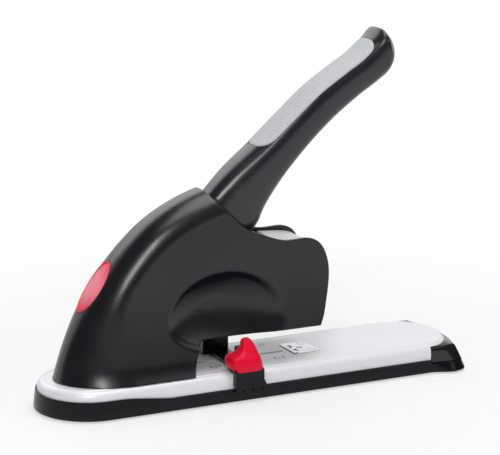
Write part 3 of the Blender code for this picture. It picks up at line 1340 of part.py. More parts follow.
def knob_ring(level):
    """A rounded section of the release knob at one height."""
    z, left, right, front, back = level
    middle_x = KNOB_X + (left + right) / 2
    middle_y = (front + back) / 2
    ring = []
    for step in range(KNOB_SIDES):
        roll = math.tau * step / KNOB_SIDES
        x = middle_x + (right - left) / 2 * rounded(math.cos(roll), KNOB_SQUARENESS)
        y = middle_y + (back - front) / 2 * rounded(math.sin(roll), KNOB_SQUARENESS)
        ring.append((x, y, z))
    return ring


def make_guide_release_knob(pivot):
    """The knob, whose lower front edge hangs down over the clip's face."""
    knob = loft("guide_release_knob", [knob_ring(level) for level in KNOB_LEVELS])
    reach = GUIDE_FACE_Y + OVERRUN
    clip_low = (KNOB_X - reach, -GUIDE_FACE_Y - GAP, 0)
    cut(knob, box("clip_room", clip_low, (KNOB_X + reach, reach, GUIDE_BAR_TOP + KNOB_CLIP_ROOM)))
    low = (LUG_START_X - 2 * GAP, KNOB_AXIS[0] - KNOB_HOLLOW_HALF_DEPTH, 0)
    high = (LUG_END_X + 2 * GAP, KNOB_AXIS[0] + KNOB_HOLLOW_HALF_DEPTH, KNOB_HOLLOW_TOP)
    cut(knob, box("lug_room", low, high))
    start = LUG_START_X - LUG_HALF_DEPTH
    end = LUG_END_X + LUG_HALF_DEPTH
    cut(knob, rod_x("pin_bore", KNOB_AXIS, KNOB_PIN_RADIUS + GAP, start - GAP, end + GAP))
    return finish(knob, RED_PLASTIC, pivot)


def make_guide_knob_pin(pivot):
    start = LUG_START_X - LUG_HALF_DEPTH
    end = LUG_END_X + LUG_HALF_DEPTH
    return finish(rod_x("guide_knob_pin", KNOB_AXIS, KNOB_PIN_RADIUS, start, end), STEEL, pivot)


def main():
    clear_scene()
    make_base_skirt()
    make_deck_cover()
    make_front_end_cap()
    make_base_chassis()
    make_anvil()
    make_rubber_feet()
    make_base_screws()
    make_frame_bolts()
    make_housing()
    make_rear_badge()
    make_front_inner_cover()
    for side in (-1, 1):
        make_frame_plate(side)
    make_frame_spacers()
    make_shell_screws()
    make_pins()
    make_spring_bridge()
    handle_pivot = pivot_at("handle_axis", (HANDLE_PIVOT[0], 0, HANDLE_PIVOT[1]))
    make_handle_core_lever(handle_pivot)
    make_handle_body(handle_pivot)
    make_handle_grip_inlay(handle_pivot)
    make_return_spring()
    magazine_pivot = pivot_at("magazine_axis", (MAGAZINE_PIVOT[0], 0, MAGAZINE_PIVOT[1]))
    make_magazine_channel(magazine_pivot)
    make_magazine_front_plate(magazine_pivot)
    make_staple_rail(magazine_pivot)
    make_staple_strip(magazine_pivot)
    follower_start = pivot_at("follower_start", (STAPLE_START_X, 0, ROD_Z), magazine_pivot)
    make_follower(follower_start)
    driver_start = pivot_at("driver_start", (BLADE_START_X, 0, BLADE_TOP), magazine_pivot)
    make_driver(driver_start)
    guide_start = pivot_at("guide_start", (GUIDE_PIN_X, SLOT_Y, DECK_TOP))
    make_guide_slider(guide_start)
    knob_axis = pivot_at("knob_axis", (KNOB_X, *KNOB_AXIS), guide_start)
    make_guide_release_knob(knob_axis)
    make_guide_knob_pin(guide_start)


main()
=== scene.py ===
"""Looks of the heavy-duty stapler: smooth outer forms, materials, small details, light, floor and camera."""

import json
import math

import bmesh
import bpy
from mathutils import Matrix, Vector


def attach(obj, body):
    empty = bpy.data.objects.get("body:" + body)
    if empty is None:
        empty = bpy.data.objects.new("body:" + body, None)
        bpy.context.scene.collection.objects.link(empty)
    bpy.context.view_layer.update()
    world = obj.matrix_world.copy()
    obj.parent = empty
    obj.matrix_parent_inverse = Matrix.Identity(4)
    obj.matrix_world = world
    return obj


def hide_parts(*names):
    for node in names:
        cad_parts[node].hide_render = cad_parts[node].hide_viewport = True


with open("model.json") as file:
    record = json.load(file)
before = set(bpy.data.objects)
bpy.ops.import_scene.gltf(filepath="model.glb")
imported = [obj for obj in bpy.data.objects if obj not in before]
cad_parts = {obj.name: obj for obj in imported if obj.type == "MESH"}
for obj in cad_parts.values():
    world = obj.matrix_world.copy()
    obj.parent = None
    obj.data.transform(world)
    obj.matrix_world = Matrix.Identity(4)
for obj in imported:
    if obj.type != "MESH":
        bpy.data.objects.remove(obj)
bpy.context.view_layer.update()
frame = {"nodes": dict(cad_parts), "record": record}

# Camera, fitted to the photograph
CAMERA_AZIMUTH = math.radians(-25.77)
CAMERA_ELEVATION = math.radians(13.76)
CAMERA_DISTANCE = 1.489
CAMERA_TARGET = (0.00106, 0, 0.10298)
CAMERA_SENSOR = 36
CAMERA_LENS = 169.2

# Shading and cutting
SMOOTH_ANGLE = math.radians(32)
GAP = 0.0003
OVERRUN = 0.004
SEAM_HALF_GAP = 0.00005

# Silver deck cover
DECK_TOP = 0.0190
DECK_HALF_WIDTH = 0.0330
DECK_SHOULDER = 0.0045
DECK_SHEET = 0.0012
NOSE_X = 0.1160
NOSE_LENGTH = 0.0228
NOSE_ROUNDING_SHARE = 0.25
REAR_STEPS = 44
NOSE_STEPS = 40
SHOULDER_STEPS = 9
CREASE_INSET = 0.0036
CREASE_WIDTH = 0.0018
CREASE_SLOPE = 0.0007
CREASE_DEPTH = 0.0006

# Slot, scale ticks and anvil marks on the deck
SLOT_START_X = -0.0380
SLOT_END_X = 0.0230
SLOT_Y = -0.0020
SLOT_WIDTH = 0.0020
SLOT_END_WIDTH = 0.0030
SLOT_END_LENGTH = 0.0160
TICK_WIDTH = 0.0005
TICK_LENGTH = 0.0045
TICK_HEIGHT = 0.0001
TICK_SPACING = 0.0030
ANVIL_START_X = 0.0270
ANVIL_END_X = 0.0460
ANVIL_HALF_WIDTH = 0.0118
ANVIL_TOP = 0.01915
TICK_ROWS = ((-0.0300, 0.0140, 4), (0.0120, 0.0140, 3), (-0.0330, -0.0160, 4), (0.0120, -0.0160, 3))
ANVIL_LINE_END_Y = 0.0098
ANVIL_DOT_HALF_LENGTH = 0.0012
ANVIL_DOT_WIDTH = 0.0013
ANVIL_DOT_PLACES = (
    (0.0316, 0.0065), (0.0307, 0.0019), (0.0318, -0.0026),
    (0.0357, 0.0007), (0.0375, 0.0001), (0.0294, -0.0104),
)

# Black base skirt
SKIRT_HALF_WIDTH = 0.0353
SKIRT_DRAFT = 0.0009
SKIRT_BOTTOM = 0.0012
SKIRT_FLOOR = 0.0028
SKIRT_WALL = 0.0042
SKIRT_HEIGHT = 0.0090
SKIRT_FRONT_HEIGHT = 0.0070
SKIRT_REAR_HEIGHT = 0.0130
SKIRT_RISE_START_X = -0.0600
SKIRT_RISE_END_X = -0.1050
BASE_REAR_X = -0.1097
BASE_SIDE_END_X = 0.1150
EAR_X = 0.1310
EAR_WIDTH = 0.0047
CORNER_X = 0.1410
CORNER_Y = 0.0340
FRONT_X = 0.1450
EAR_BEND_SHARES = (0.7, 0.4)
FRONT_RIM_FLARE_SHARE = 0.45
TOP_FLARE_SHARE = 0.1
FOOT_RADIUS = 0.0080
FOOT_HEIGHT = 0.0026
FOOT_PLACES = ((-0.1080, 0.0190), (0.1200, 0.0220))
SCREW_HEAD_RADIUS = 0.0032
SCREW_HEAD = 0.0014
BASE_SCREW_PLACES = ((-0.0860, 0.0170), (0.0920, 0.0170))

# Black front end cap
CAP_TIP_X = 0.1405
CAP_CORNER_X = 0.1350
CAP_CORNER_Y = 0.0302
CAP_ROUNDING = 0.0012
CAP_BEND_SHARES = (0.75, 0.5)
CAP_SHOULDER_SHARES = (0.8, 0.95)
CAP_MIDDLE_SHARE = 0.62

# Housing: the same form as the solid's, in finer steps
BACK_CENTRE = (0.0340, -0.0216)
BACK_RADIUS = 0.1720
BACK_FALL = 0.0040
BACK_FALL_START = math.radians(130)
BACK_FALL_END = math.radians(115)
BACK_FALL_POWER = 1.5
HOUSING_CORE_RADIUS = 0.0400
HOUSING_WALL = 0.0024
HOUSING_FOOT = 0.0193
HOUSING_TOP_HALF_WIDTH = 0.0199
HOUSING_FLARE = 0.0091
HOUSING_FLARE_TOP = 0.1100
HOUSING_FLARE_HEIGHT = 0.0910
HOUSING_SPLAY = 0.0020
HOUSING_SPLAY_HEIGHT = 0.0110
CORNER_FOOT_DEPTH = 0.0430
CORNER_TOP_DEPTH = 0.0160
CORNER_BLEND_HEIGHT = 0.0700
CORNER_TOP_SHARE = 0.9
FAN_START = math.radians(79)
FAN_END = math.radians(169)
HOUSING_REACH = 0.0600
HOUSING_HALF_SPAN = 0.0400
CREST = (-0.0335, 0.1310)
CUT_LINE = (
    (-0.0280, 0.1237), (-0.0138, 0.1097), (0.0012, 0.1024), (0.0160, 0.0974), (0.0329, 0.0971),
    (0.0414, 0.0924), (0.0460, 0.0815), (0.0462, 0.0685), (0.0422, 0.0484), (0.0391, 0.0403),
)
THROAT_TOP = 0.0403
THROAT_END_X = -0.0410
LEG_FRONT = ((-0.0440, 0.0395), (-0.0462, 0.0345), (-0.0482, 0.0293), (-0.0499, 0.0246), (-0.0511, 0.0193))
MAGAZINE_SLOT_HALF_WIDTH = 0.0104
MAGAZINE_SLOT_BOTTOM = 0.0290
RIM_ROUNDING = 0.0006
SHELL_SCREW_PLACES = ((-0.0980, 0.0360), (-0.0780, 0.0840), (-0.0655, 0.0300))
SCREW_SINK_RADIUS = 0.0035
SCREW_SINK_DEPTH = 0.0029
SKIN_STEPS = (190, 96, 18)
HOLLOW_STEPS = (72, 34, 12)

# Scoop in each side of the housing
SCOOP_CENTRE = (-0.0250, 0.0500)
SCOOP_HALF_LENGTH = 0.0430
SCOOP_RISE = 0.0330
SCOOP_DROP = 0.0200
SCOOP_DEPTH = 0.0060
SCOOP_SHIFT = (-0.0100, 0.0110)
SCOOP_FLOOR_SHARE = 0.12
SCOOP_SLOPE_POWER = 1.7
SCOOP_RIM_SHARE = 0.24

# Badge on the rear
BADGE_Z = 0.0772
BADGE_HALF_LENGTH = 0.0183
BADGE_HALF_WIDTH = 0.0094
BADGE_SEAT = 0.0010
BADGE_RIM_RISE = 0.0008
BADGE_DOME_RISE = 0.0007
BADGE_SIDES = 72

# Handle
HANDLE_PIVOT = (-0.0290, 0.0995)
ROOT_RADIUS = 0.0270
ROOT_HALF_WIDTH = 0.0112
ROOT_LOW_ANGLE = math.radians(15.5)
ROOT_HIGH_ANGLE = math.radians(132)
ROOT_BOSS_RADIUS = 0.0085
ROOT_BOSS_HALF_WIDTH = 0.0136
ROOT_CLEARANCE = 0.0008
HANDLE_STATIONS = (
    (-0.0302, 0.1285, -0.0022, 0.1005, 0.0133),
    (-0.0235, 0.1355, 0.0034, 0.1071, 0.0138),
    (-0.0141, 0.1440, 0.0090, 0.1189, 0.0146),
    (0.0053, 0.1591, 0.0212, 0.1362, 0.0152),
    (0.0249, 0.1758, 0.0388, 0.1549, 0.0150),
    (0.0426, 0.1905, 0.0555, 0.1697, 0.0148),
    (0.0621, 0.2029, 0.0729, 0.1824, 0.0148),
    (0.0731, 0.2094, 0.0824, 0.1883, 0.0150),
    (0.0841, 0.2185, 0.0929, 0.1953, 0.0152),
    (0.0903, 0.22478, 0.0966, 0.1998, 0.0148),
    (0.0930, 0.2228, 0.0989, 0.2037, 0.0122),
    (0.0972, 0.2195, 0.1009, 0.2071, 0.0078),
    (0.0992, 0.2170, 0.1017, 0.2093, 0.0038),
)
HANDLE_SQUARENESS = 3
HANDLE_STEPS = 144
HANDLE_SIDES = 64
INLAY_START_SHARE = 0.237
INLAY_END_SHARE = 0.665
INLAY_HALF_WIDTH = 0.0125
INLAY_HALF_LENGTH = 0.0510
INLAY_DEPTH = 0.0014
INLAY_RISE = 0.0003
INLAY_INNER_SHARES = (0.05, 0.15, 0.3, 0.45, 0.6, 0.72, 0.83, 0.92)

# Release knob of the paper guide
KNOB_X = -0.0158
KNOB_LEVELS = (
    (0.0205, -0.0117, 0.0088, -0.0385, -0.0224),
    (0.0215, -0.0124, 0.0092, -0.0390, -0.0219),
    (0.0258, -0.0132, 0.0083, -0.0390, -0.0218),
    (0.0284, -0.0130, 0.0076, -0.0385, -0.0224),
    (0.0298, -0.0119, 0.0071, -0.0378, -0.0236),
    (0.0312, -0.0082, 0.0064, -0.0366, -0.0250),
    (0.0332, -0.0054, 0.0057, -0.0350, -0.0256),
    (0.0355, -0.0037, 0.0049, -0.0334, -0.0260),
    (0.0378, -0.0032, 0.0037, -0.0319, -0.0262),
    (0.0392, -0.0025, 0.0028, -0.0308, -0.0266),
    (0.0400, -0.0012, 0.0014, -0.0296, -0.0274),
)
KNOB_SQUARENESS = 4
KNOB_SIDES = 56
CLIP_FACE_Y = 0.0376
CLIP_TOP = 0.0218
KNOB_CLIP_ROOM = 0.0006
KNOB_HOLLOW = ((-0.0186, -0.0289, 0), (-0.0124, -0.0241, 0.0292))

# Floor, backdrop, light
FLOOR_COLOUR = (0.93, 0.93, 0.93, 1)
FLOOR_ROUGHNESS = 0.7
FLOOR_SHINE = 0.2
SHADOW_REACH = 0.16
WHITE_FROM = 0.40
NEAR_GLOW = 0.55
FILL_COLOUR = (0.95, 0.97, 1, 1)
FILL_STRENGTH = 0.11
LAMP_AIM = (0, 0, 0.09)
LAMPS = (
    ("key_softbox", (-0.40, -0.70, 0.50), 1.3, (0.24, 0.60), 13.5),
    ("top_softbox", (0.10, -0.05, 1.00), 1.2, (1.1, 0.9), 3.7),
    ("back_softbox", (-0.10, 0.85, 0.55), 1.5, (1.3, 0.7), 1.2),
    ("side_softbox", (0.55, -0.75, 0.55), 1.4, (0.5, 0.5), 1.6),
)


def camera_back():
    """The direction from the stapler to the camera."""
    level = math.cos(CAMERA_ELEVATION)
    return Vector((
        math.sin(CAMERA_AZIMUTH) * level,
        -math.cos(CAMERA_AZIMUTH) * level,
        math.sin(CAMERA_ELEVATION),
    ))


def make_camera():
    data = bpy.data.cameras.new("camera")
    data.sensor_width = CAMERA_SENSOR
    data.lens = CAMERA_LENS
    data.clip_end = 20
    camera = bpy.data.objects.new("camera", data)
    bpy.context.scene.collection.objects.link(camera)
    back = camera_back()
    camera.location = Vector(CAMERA_TARGET) + back * CAMERA_DISTANCE
    camera.rotation_euler = back.to_track_quat("Z", "Y").to_euler()
    bpy.context.scene.camera = camera


def solid(name, points, faces):
    mesh = bpy.data.meshes.new(name)
    mesh.from_pydata([tuple(point) for point in points], [], faces)
    shape = bmesh.new()
    shape.from_mesh(mesh)
    bmesh.ops.recalc_face_normals(shape, faces=shape.faces)
    shape.to_mesh(mesh)
    shape.free()
    body = bpy.data.objects.new(name, mesh)
    bpy.context.scene.collection.objects.link(body)
    return body


def loft(name, rings):
    """A closed solid through rings of equally many points, capped at both ends."""
    count = len(rings[0])
    points = [point for ring in rings for point in ring]
    faces = [tuple(reversed(range(count)))]
    for level in range(len(rings) - 1):
        start = level * count
        for i in range(count):
            j = (i + 1) % count
            faces.append((start + i, start + j, start + count + j, start + count + i))
    faces.append(tuple(range(len(points) - count, len(points))))
    return solid(name, points, faces)


def prism(name, outline, low, high):
    """An outline in X and Z, drawn out along Y."""
    return loft(name, [[(x, y, z) for x, z in outline] for y in (low, high)])


def box(name, low, high):
    corners = ((low[0], low[1]), (high[0], low[1]), (high[0], high[1]), (low[0], high[1]))
    return loft(name, [[(x, y, z) for x, y in corners] for z in (low[2], high[2])])


def arc(centre, radius, start, end, steps):
    turns = [start + (end - start) * i / steps for i in range(steps + 1)]
    return [(centre[0] + radius * math.cos(turn), centre[1] + radius * math.sin(turn)) for turn in turns]


def circle(centre, radius, sides=32):
    return arc(centre, radius, 0, math.tau, sides)[:-1]


def rod_y(name, centre, radius, low, high, sides=32):
    return prism(name, circle(centre, radius, sides), low, high)


def curve_through(places, steps):
    """A smooth curve through places of any number of coordinates, ends included."""
    found = []
    last = len(places) - 1
    for i in range(last):
        before, here, there, after = (places[min(max(j, 0), last)] for j in (i - 1, i, i + 1, i + 2))
        for k in range(steps):
            found.append(spline_point(before, here, there, after, k / steps))
    found.append(tuple(places[-1]))
    return found


def spline_point(before, here, there, after, share):
    """A point of the Catmull-Rom curve between here and there."""
    point = []
    for a, b, c, d in zip(before, here, there, after):
        bend = 2 * a - 5 * b + 4 * c - d
        twist = 3 * (b - c) + d - a
        point.append(b + (c - a) * share / 2 + bend * share**2 / 2 + twist * share**3 / 2)
    return tuple(point)


def mix(first, second, share):
    return first + (second - first) * share


def eased(share):
    """A share from 0 to 1 that starts and ends gently."""
    share = min(max(share, 0), 1)
    return share * share * (3 - 2 * share)


def combine(body, others, operation):
    """Applies a Boolean with each of the others in turn, then removes them."""
    for other in others:
        modifier = body.modifiers.new(operation, "BOOLEAN")
        modifier.operation = operation
        modifier.object = other
        bpy.context.view_layer.update()
        graph = bpy.context.evaluated_depsgraph_get()
        mesh = bpy.data.meshes.new_from_object(body.evaluated_get(graph))
        body.modifiers.clear()
        body.data = mesh
        bpy.data.objects.remove(other, do_unlink=True)
    return body


def cut(body, *cutters):
    return combine(body, cutters, "DIFFERENCE")


def join(body, *others):
    return combine(body, others, "UNION")


def keep_inside(body, other):
    return combine(body, [other], "INTERSECT")


def rounded(value, squareness):
    """Pulls a cosine or sine outwards, so that a circle turns into a rounded square."""
    return math.copysign(abs(value) ** (2 / squareness), value)


def smooth(body, angle=SMOOTH_ANGLE):
    for face in body.data.polygons:
        face.use_smooth = True
    body.data.set_sharp_from_angle(angle=angle)
    return body


def round_edges(body, width, angle, segments=2):
    """Rounds the edges sharper than this angle, but for those on the middle plane's seam."""
    shape = bmesh.new()
    shape.from_mesh(body.data)
    bmesh.ops.remove_doubles(shape, verts=shape.verts, dist=width / 3)
    bmesh.ops.dissolve_degenerate(shape, edges=shape.edges, dist=width / 10)
    sharp = []
    for edge in shape.edges:
        on_seam = all(abs(end.co.y) < GAP for end in edge.verts)
        if len(edge.link_faces) == 2 and edge.calc_face_angle() > angle and not on_seam:
            sharp.append(edge)
    bmesh.ops.bevel(shape, geom=sharp, offset=width, offset_type="OFFSET", segments=segments,
                    profile=0.5, affect="EDGES", clamp_overlap=True)
    shape.to_mesh(body.data)
    shape.free()
    return body


def both_sides(side, z):
    """A ring from the half outline at +Y, whose first and last points lie on the middle plane."""
    mirrored = [(x, -y) for x, y in reversed(side[1:-1])]
    return [(x, y, z) for x, y in side + mirrored]


def deck_ring(z, inset):
    """The deck's outline at height z: a round rear, straight sides and a half-ellipse nose."""
    half = DECK_HALF_WIDTH - inset
    side = arc((BASE_REAR_X, 0), half, math.pi, math.pi / 2, REAR_STEPS)
    length = NOSE_LENGTH - NOSE_ROUNDING_SHARE * inset
    for turn in [math.pi / 2 * (1 - step / NOSE_STEPS) for step in range(NOSE_STEPS + 1)]:
        side.append((NOSE_X + length * math.cos(turn), half * math.sin(turn)))
    return both_sides(side, z)


def deck_rings(bottom, shrink):
    """Rings of the deck from its lower edge over its rounded shoulder, shrunk inward all round."""
    rings = [deck_ring(bottom, shrink)]
    inner = DECK_SHOULDER - shrink
    for step in range(SHOULDER_STEPS + 1):
        turn = math.pi / 2 * step / SHOULDER_STEPS
        z = DECK_TOP - DECK_SHOULDER + inner * math.sin(turn)
        rings.append(deck_ring(z, DECK_SHOULDER - inner * math.cos(turn)))
    return rings


def bar_outline(start_x, end_x, y, width):
    """A bar with round ends, seen from above."""
    half = width / 2
    right = arc((end_x - half, y), half, -math.pi / 2, math.pi / 2, 10)
    return right + arc((start_x + half, y), half, math.pi / 2, 3 * math.pi / 2, 10)


def slab(name, outline, low, high):
    """An outline in X and Y, drawn out along Z."""
    return loft(name, [[(x, y, z) for x, y in outline] for z in (low, high)])


def rod_z(name, centre, radius, low, high, sides=32):
    return slab(name, circle(centre, radius, sides), low, high)


def make_deck(looks):
    """The silver deck with its crease, the guide's slot and the anvil's opening."""
    bottom = SKIRT_HEIGHT + GAP
    deck = loft("deck_skin", deck_rings(bottom, 0))
    cut(deck, loft("deck_hollow", deck_rings(bottom - OVERRUN, DECK_SHEET)))
    under_nose = DECK_TOP - DECK_SHEET
    reach = NOSE_LENGTH + OVERRUN
    cut(deck, box("nose_clearance", (NOSE_X, -FRONT_X, 0), (NOSE_X + reach, FRONT_X, under_nose)))
    floor = DECK_TOP - CREASE_DEPTH
    above = DECK_TOP + OVERRUN
    outer = CREASE_INSET
    inner = CREASE_INSET + CREASE_WIDTH
    crease = [deck_ring(floor, outer + CREASE_SLOPE), deck_ring(DECK_TOP, outer), deck_ring(above, outer)]
    core = [deck_ring(floor - OVERRUN, inner - CREASE_SLOPE), deck_ring(floor, inner - CREASE_SLOPE)]
    core += [deck_ring(DECK_TOP, inner), deck_ring(above + OVERRUN, inner)]
    cut(deck, cut(loft("crease", crease), loft("crease_core", core)))
    slot = bar_outline(SLOT_START_X, SLOT_END_X, SLOT_Y, SLOT_WIDTH)
    start = SLOT_END_X - SLOT_END_LENGTH
    broad_end = bar_outline(start, SLOT_END_X + SLOT_WIDTH / 2, SLOT_Y, SLOT_END_WIDTH)
    for outline in (slot, broad_end):
        cut(deck, slab("slot", outline, under_nose - OVERRUN, DECK_TOP + OVERRUN))
    low = (ANVIL_START_X - GAP, -ANVIL_HALF_WIDTH - GAP, 0)
    cut(deck, box("anvil_opening", low, (ANVIL_END_X + GAP, ANVIL_HALF_WIDTH + GAP, DECK_TOP + OVERRUN)))
    smooth(deck, math.radians(30))
    dress(deck, looks["silver_paint"], "base", "deck_cover")


def make_deck_marks(looks):
    """Fine scale ticks on both sides of the slot, and the marks on the anvil."""
    marks = []
    top = DECK_TOP + TICK_HEIGHT
    for x, y, count in TICK_ROWS:
        for number in range(count):
            left = x + TICK_SPACING * number
            length = TICK_LENGTH if number % 2 == 0 else TICK_LENGTH / 2
            corners = [(left, y), (left + TICK_WIDTH, y), (left + TICK_WIDTH, y + length), (left, y + length)]
            marks.append(slab("tick", corners, DECK_TOP - GAP, top))
    low, high = ANVIL_TOP - GAP, ANVIL_TOP + TICK_HEIGHT
    edge = (ANVIL_START_X, ANVIL_START_X + 2 * TICK_WIDTH)
    start_y = -ANVIL_HALF_WIDTH
    end_y = ANVIL_LINE_END_Y
    corners = [(edge[0], start_y), (edge[1], start_y), (edge[1], end_y), (edge[0], end_y)]
    marks.append(slab("anvil_line", corners, low, high))
    for x, y in ANVIL_DOT_PLACES:
        left, right = x - ANVIL_DOT_HALF_LENGTH, x + ANVIL_DOT_HALF_LENGTH
        marks.append(slab("anvil_dot", bar_outline(left, right, y, ANVIL_DOT_WIDTH), low, high))
    sheet = marks[0]
    for other in marks[1:]:
        join(sheet, other)
    sheet.name = "deck_marks"
    sheet.data.materials.clear()
    sheet.data.materials.append(looks["black_plastic"])
    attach(sheet, "base")


def base_ring(z, inset, flare, front_pull):
    """The base's outline at height z. Flare widens the front ears, and front_pull draws the front back."""
    half = SKIRT_HALF_WIDTH - inset
    side = arc((BASE_REAR_X, 0), half, math.pi, math.pi / 2, REAR_STEPS)
    corner_x = CORNER_X - front_pull
    front_x = FRONT_X - front_pull
    along, inward = EAR_BEND_SHARES
    ear_half = half + EAR_WIDTH * flare
    bend = [(mix(EAR_X, corner_x, along), mix(ear_half, CORNER_Y, inward))]
    for step in range(9):
        share = step / 8
        side.append((mix(BASE_SIDE_END_X, EAR_X, share), half + EAR_WIDTH * flare * eased(share)))
    front = [(mix(corner_x, front_x, 1 - (1 - step / 8) ** 2), (CORNER_Y - inset) * (1 - step / 8))
             for step in range(9)]
    side += curve_through([(EAR_X, ear_half), *bend, front[0]], 5)[1:-1]
    return both_sides(side + front, z)


def skirt_height(x):
    rise = eased((x - SKIRT_RISE_START_X) / (SKIRT_RISE_END_X - SKIRT_RISE_START_X))
    return mix(SKIRT_HEIGHT, SKIRT_REAR_HEIGHT, rise)


def well_outline(half, end_x):
    side = arc((BASE_REAR_X, 0), half, math.pi, math.pi / 2, REAR_STEPS)
    return side + [(end_x, half), (end_x, 0)]


def make_skirt(looks):
    """The black skirt round the base, with its rim, well and the seats of the feet."""
    top = SKIRT_REAR_HEIGHT + OVERRUN
    pull = FRONT_X - CAP_TIP_X
    skirt = loft("skirt_skin", [
        base_ring(SKIRT_BOTTOM, SKIRT_DRAFT / 2, 1, SKIRT_DRAFT / 2),
        base_ring(SKIRT_BOTTOM + SKIRT_DRAFT / 3, SKIRT_DRAFT / 7, 1, SKIRT_DRAFT / 7),
        base_ring(SKIRT_BOTTOM + SKIRT_DRAFT, 0, 1, 0),
        base_ring(SKIRT_FRONT_HEIGHT, SKIRT_DRAFT / 2, FRONT_RIM_FLARE_SHARE, pull / 2),
        base_ring(top, SKIRT_DRAFT * top / SKIRT_HEIGHT, TOP_FLARE_SHARE, pull),
    ])
    over = [(-FRONT_X - OVERRUN, SKIRT_REAR_HEIGHT)]
    for step in range(17):
        x = mix(SKIRT_RISE_END_X, SKIRT_RISE_START_X, step / 16)
        over.append((x, skirt_height(x)))
    over += [(NOSE_X - GAP, SKIRT_HEIGHT), (NOSE_X - GAP, SKIRT_FRONT_HEIGHT)]
    over += [(FRONT_X + OVERRUN, SKIRT_FRONT_HEIGHT), (FRONT_X + OVERRUN, top + OVERRUN)]
    over.append((-FRONT_X - OVERRUN, top + OVERRUN))
    cut(skirt, prism("over_skirt", over, -FRONT_X, FRONT_X))
    well = well_outline(DECK_HALF_WIDTH + GAP, NOSE_X - GAP)
    pocket = well_outline(SKIRT_HALF_WIDTH - SKIRT_WALL, NOSE_X - SKIRT_WALL)
    floor = SKIRT_BOTTOM + SKIRT_FLOOR
    cut(skirt, loft("rim_well", [both_sides(well, z) for z in (SKIRT_HEIGHT, top + OVERRUN)]))
    cut(skirt, loft("skirt_pocket", [both_sides(pocket, z) for z in (floor, top)]))
    for side in (-1, 1):
        for x, y in FOOT_PLACES:
            seat = (x, side * y)
            cut(skirt, rod_z("foot_seat", seat, FOOT_RADIUS + GAP, -OVERRUN, FOOT_HEIGHT + GAP))
        for x, y in BASE_SCREW_PLACES:
            sink = SKIRT_BOTTOM + SCREW_HEAD + GAP
            cut(skirt, rod_z("screw_sink", (x, side * y), SCREW_HEAD_RADIUS + GAP, -OVERRUN, sink))
    smooth(skirt, math.radians(35))
    dress(skirt, looks["black_plastic"], "base", "base_skirt")


def cap_ring(z, share, inset):
    """The end cap's outline: share runs from 0 at its lower edge to 1 at its top."""
    side = [(NOSE_X + GAP, 0), (NOSE_X + GAP, DECK_HALF_WIDTH - inset)]
    lower_half = SKIRT_HALF_WIDTH - SKIRT_DRAFT
    corner_x = mix(CORNER_X - (FRONT_X - CAP_TIP_X) / 2, CAP_CORNER_X, share) - inset
    corner_y = mix(CORNER_Y, CAP_CORNER_Y, share) - inset
    side_half = mix(lower_half, DECK_HALF_WIDTH, share) - inset
    ear = (EAR_X - (CORNER_X - CAP_CORNER_X) * share, side_half)
    along, inward = CAP_BEND_SHARES
    bend = (mix(EAR_X, corner_x, along), mix(side_half, corner_y, inward))
    tip = mix(FRONT_X - (FRONT_X - CAP_TIP_X) / 2, CAP_TIP_X, share) - inset
    side += curve_through([ear, bend, (corner_x, corner_y)], 6)[:-1]
    for step in range(11):
        along = step / 10
        side.append((mix(corner_x, tip, 1 - (1 - along) ** 2), corner_y * (1 - along)))
    return both_sides(side, z)


def make_cap(looks):
    """The glossy end cap, its upper edge softly rounded."""
    bottom = SKIRT_FRONT_HEIGHT + GAP
    top = DECK_TOP - DECK_SHEET - GAP
    low_shoulder, high_shoulder = CAP_SHOULDER_SHARES
    levels = [
        (bottom, 0, 0),
        (mix(bottom, top, 0.5), low_shoulder * CAP_MIDDLE_SHARE, 0),
        (top - 2 * CAP_ROUNDING, low_shoulder, 0),
        (top - CAP_ROUNDING / 2, high_shoulder, CAP_ROUNDING / 3),
        (top, 1, CAP_ROUNDING),
    ]
    rings = [cap_ring(*level) for level in curve_through(levels, 4)]
    cap = smooth(loft("cap_skin", rings), math.radians(60))
    dress(cap, looks["black_gloss"], "base", "front_end_cap")


def housing_half_width(z):
    below = max(0, (HOUSING_FLARE_TOP - z) / HOUSING_FLARE_HEIGHT)
    near_foot = max(0, (HOUSING_FOOT + HOUSING_SPLAY_HEIGHT - z) / HOUSING_SPLAY_HEIGHT)
    return HOUSING_TOP_HALF_WIDTH + HOUSING_FLARE * below**2 + HOUSING_SPLAY * near_foot**2


def back_radius(turn):
    """The radius of the housing's back at this turn about its centre."""
    fall = max(0, (BACK_FALL_START - turn) / (BACK_FALL_START - BACK_FALL_END))
    return BACK_RADIUS - BACK_FALL * fall**BACK_FALL_POWER


def back_place(turn, radius):
    return (BACK_CENTRE[0] + radius * math.cos(turn), BACK_CENTRE[1] + radius * math.sin(turn))


def corner_of(turn):
    """Depth of the back's rounded corner at this turn, and the share of the half width that it takes."""
    crown = back_place(turn, back_radius(turn))[1]
    share = eased((crown - HOUSING_FOOT) / CORNER_BLEND_HEIGHT)
    return mix(CORNER_FOOT_DEPTH, CORNER_TOP_DEPTH, share), mix(1, CORNER_TOP_SHARE, share)


def skin_half_width(x, z):
    """Where the housing's outer side is at this place of the side view."""
    across = x - BACK_CENTRE[0]
    up = z - BACK_CENTRE[1]
    turn = math.atan2(up, across)
    depth, corner = corner_of(turn)
    into = (math.hypot(across, up) - back_radius(turn) + depth) / depth
    half = housing_half_width(z)
    if into <= 0:
        return half
    return half * (1 - corner + corner * math.sqrt(max(0, 1 - into**2)))


def skin_radius(turn, y):
    """How far from the back's centre the housing's outer skin is at this turn and this y."""
    depth, corner = corner_of(turn)
    radius = back_radius(turn)
    half = housing_half_width(back_place(turn, radius)[1])
    flat = half * (1 - corner)
    over = max(0, abs(y) - flat) / (half - flat)
    return radius - depth * (1 - math.sqrt(max(0, 1 - over**2)))


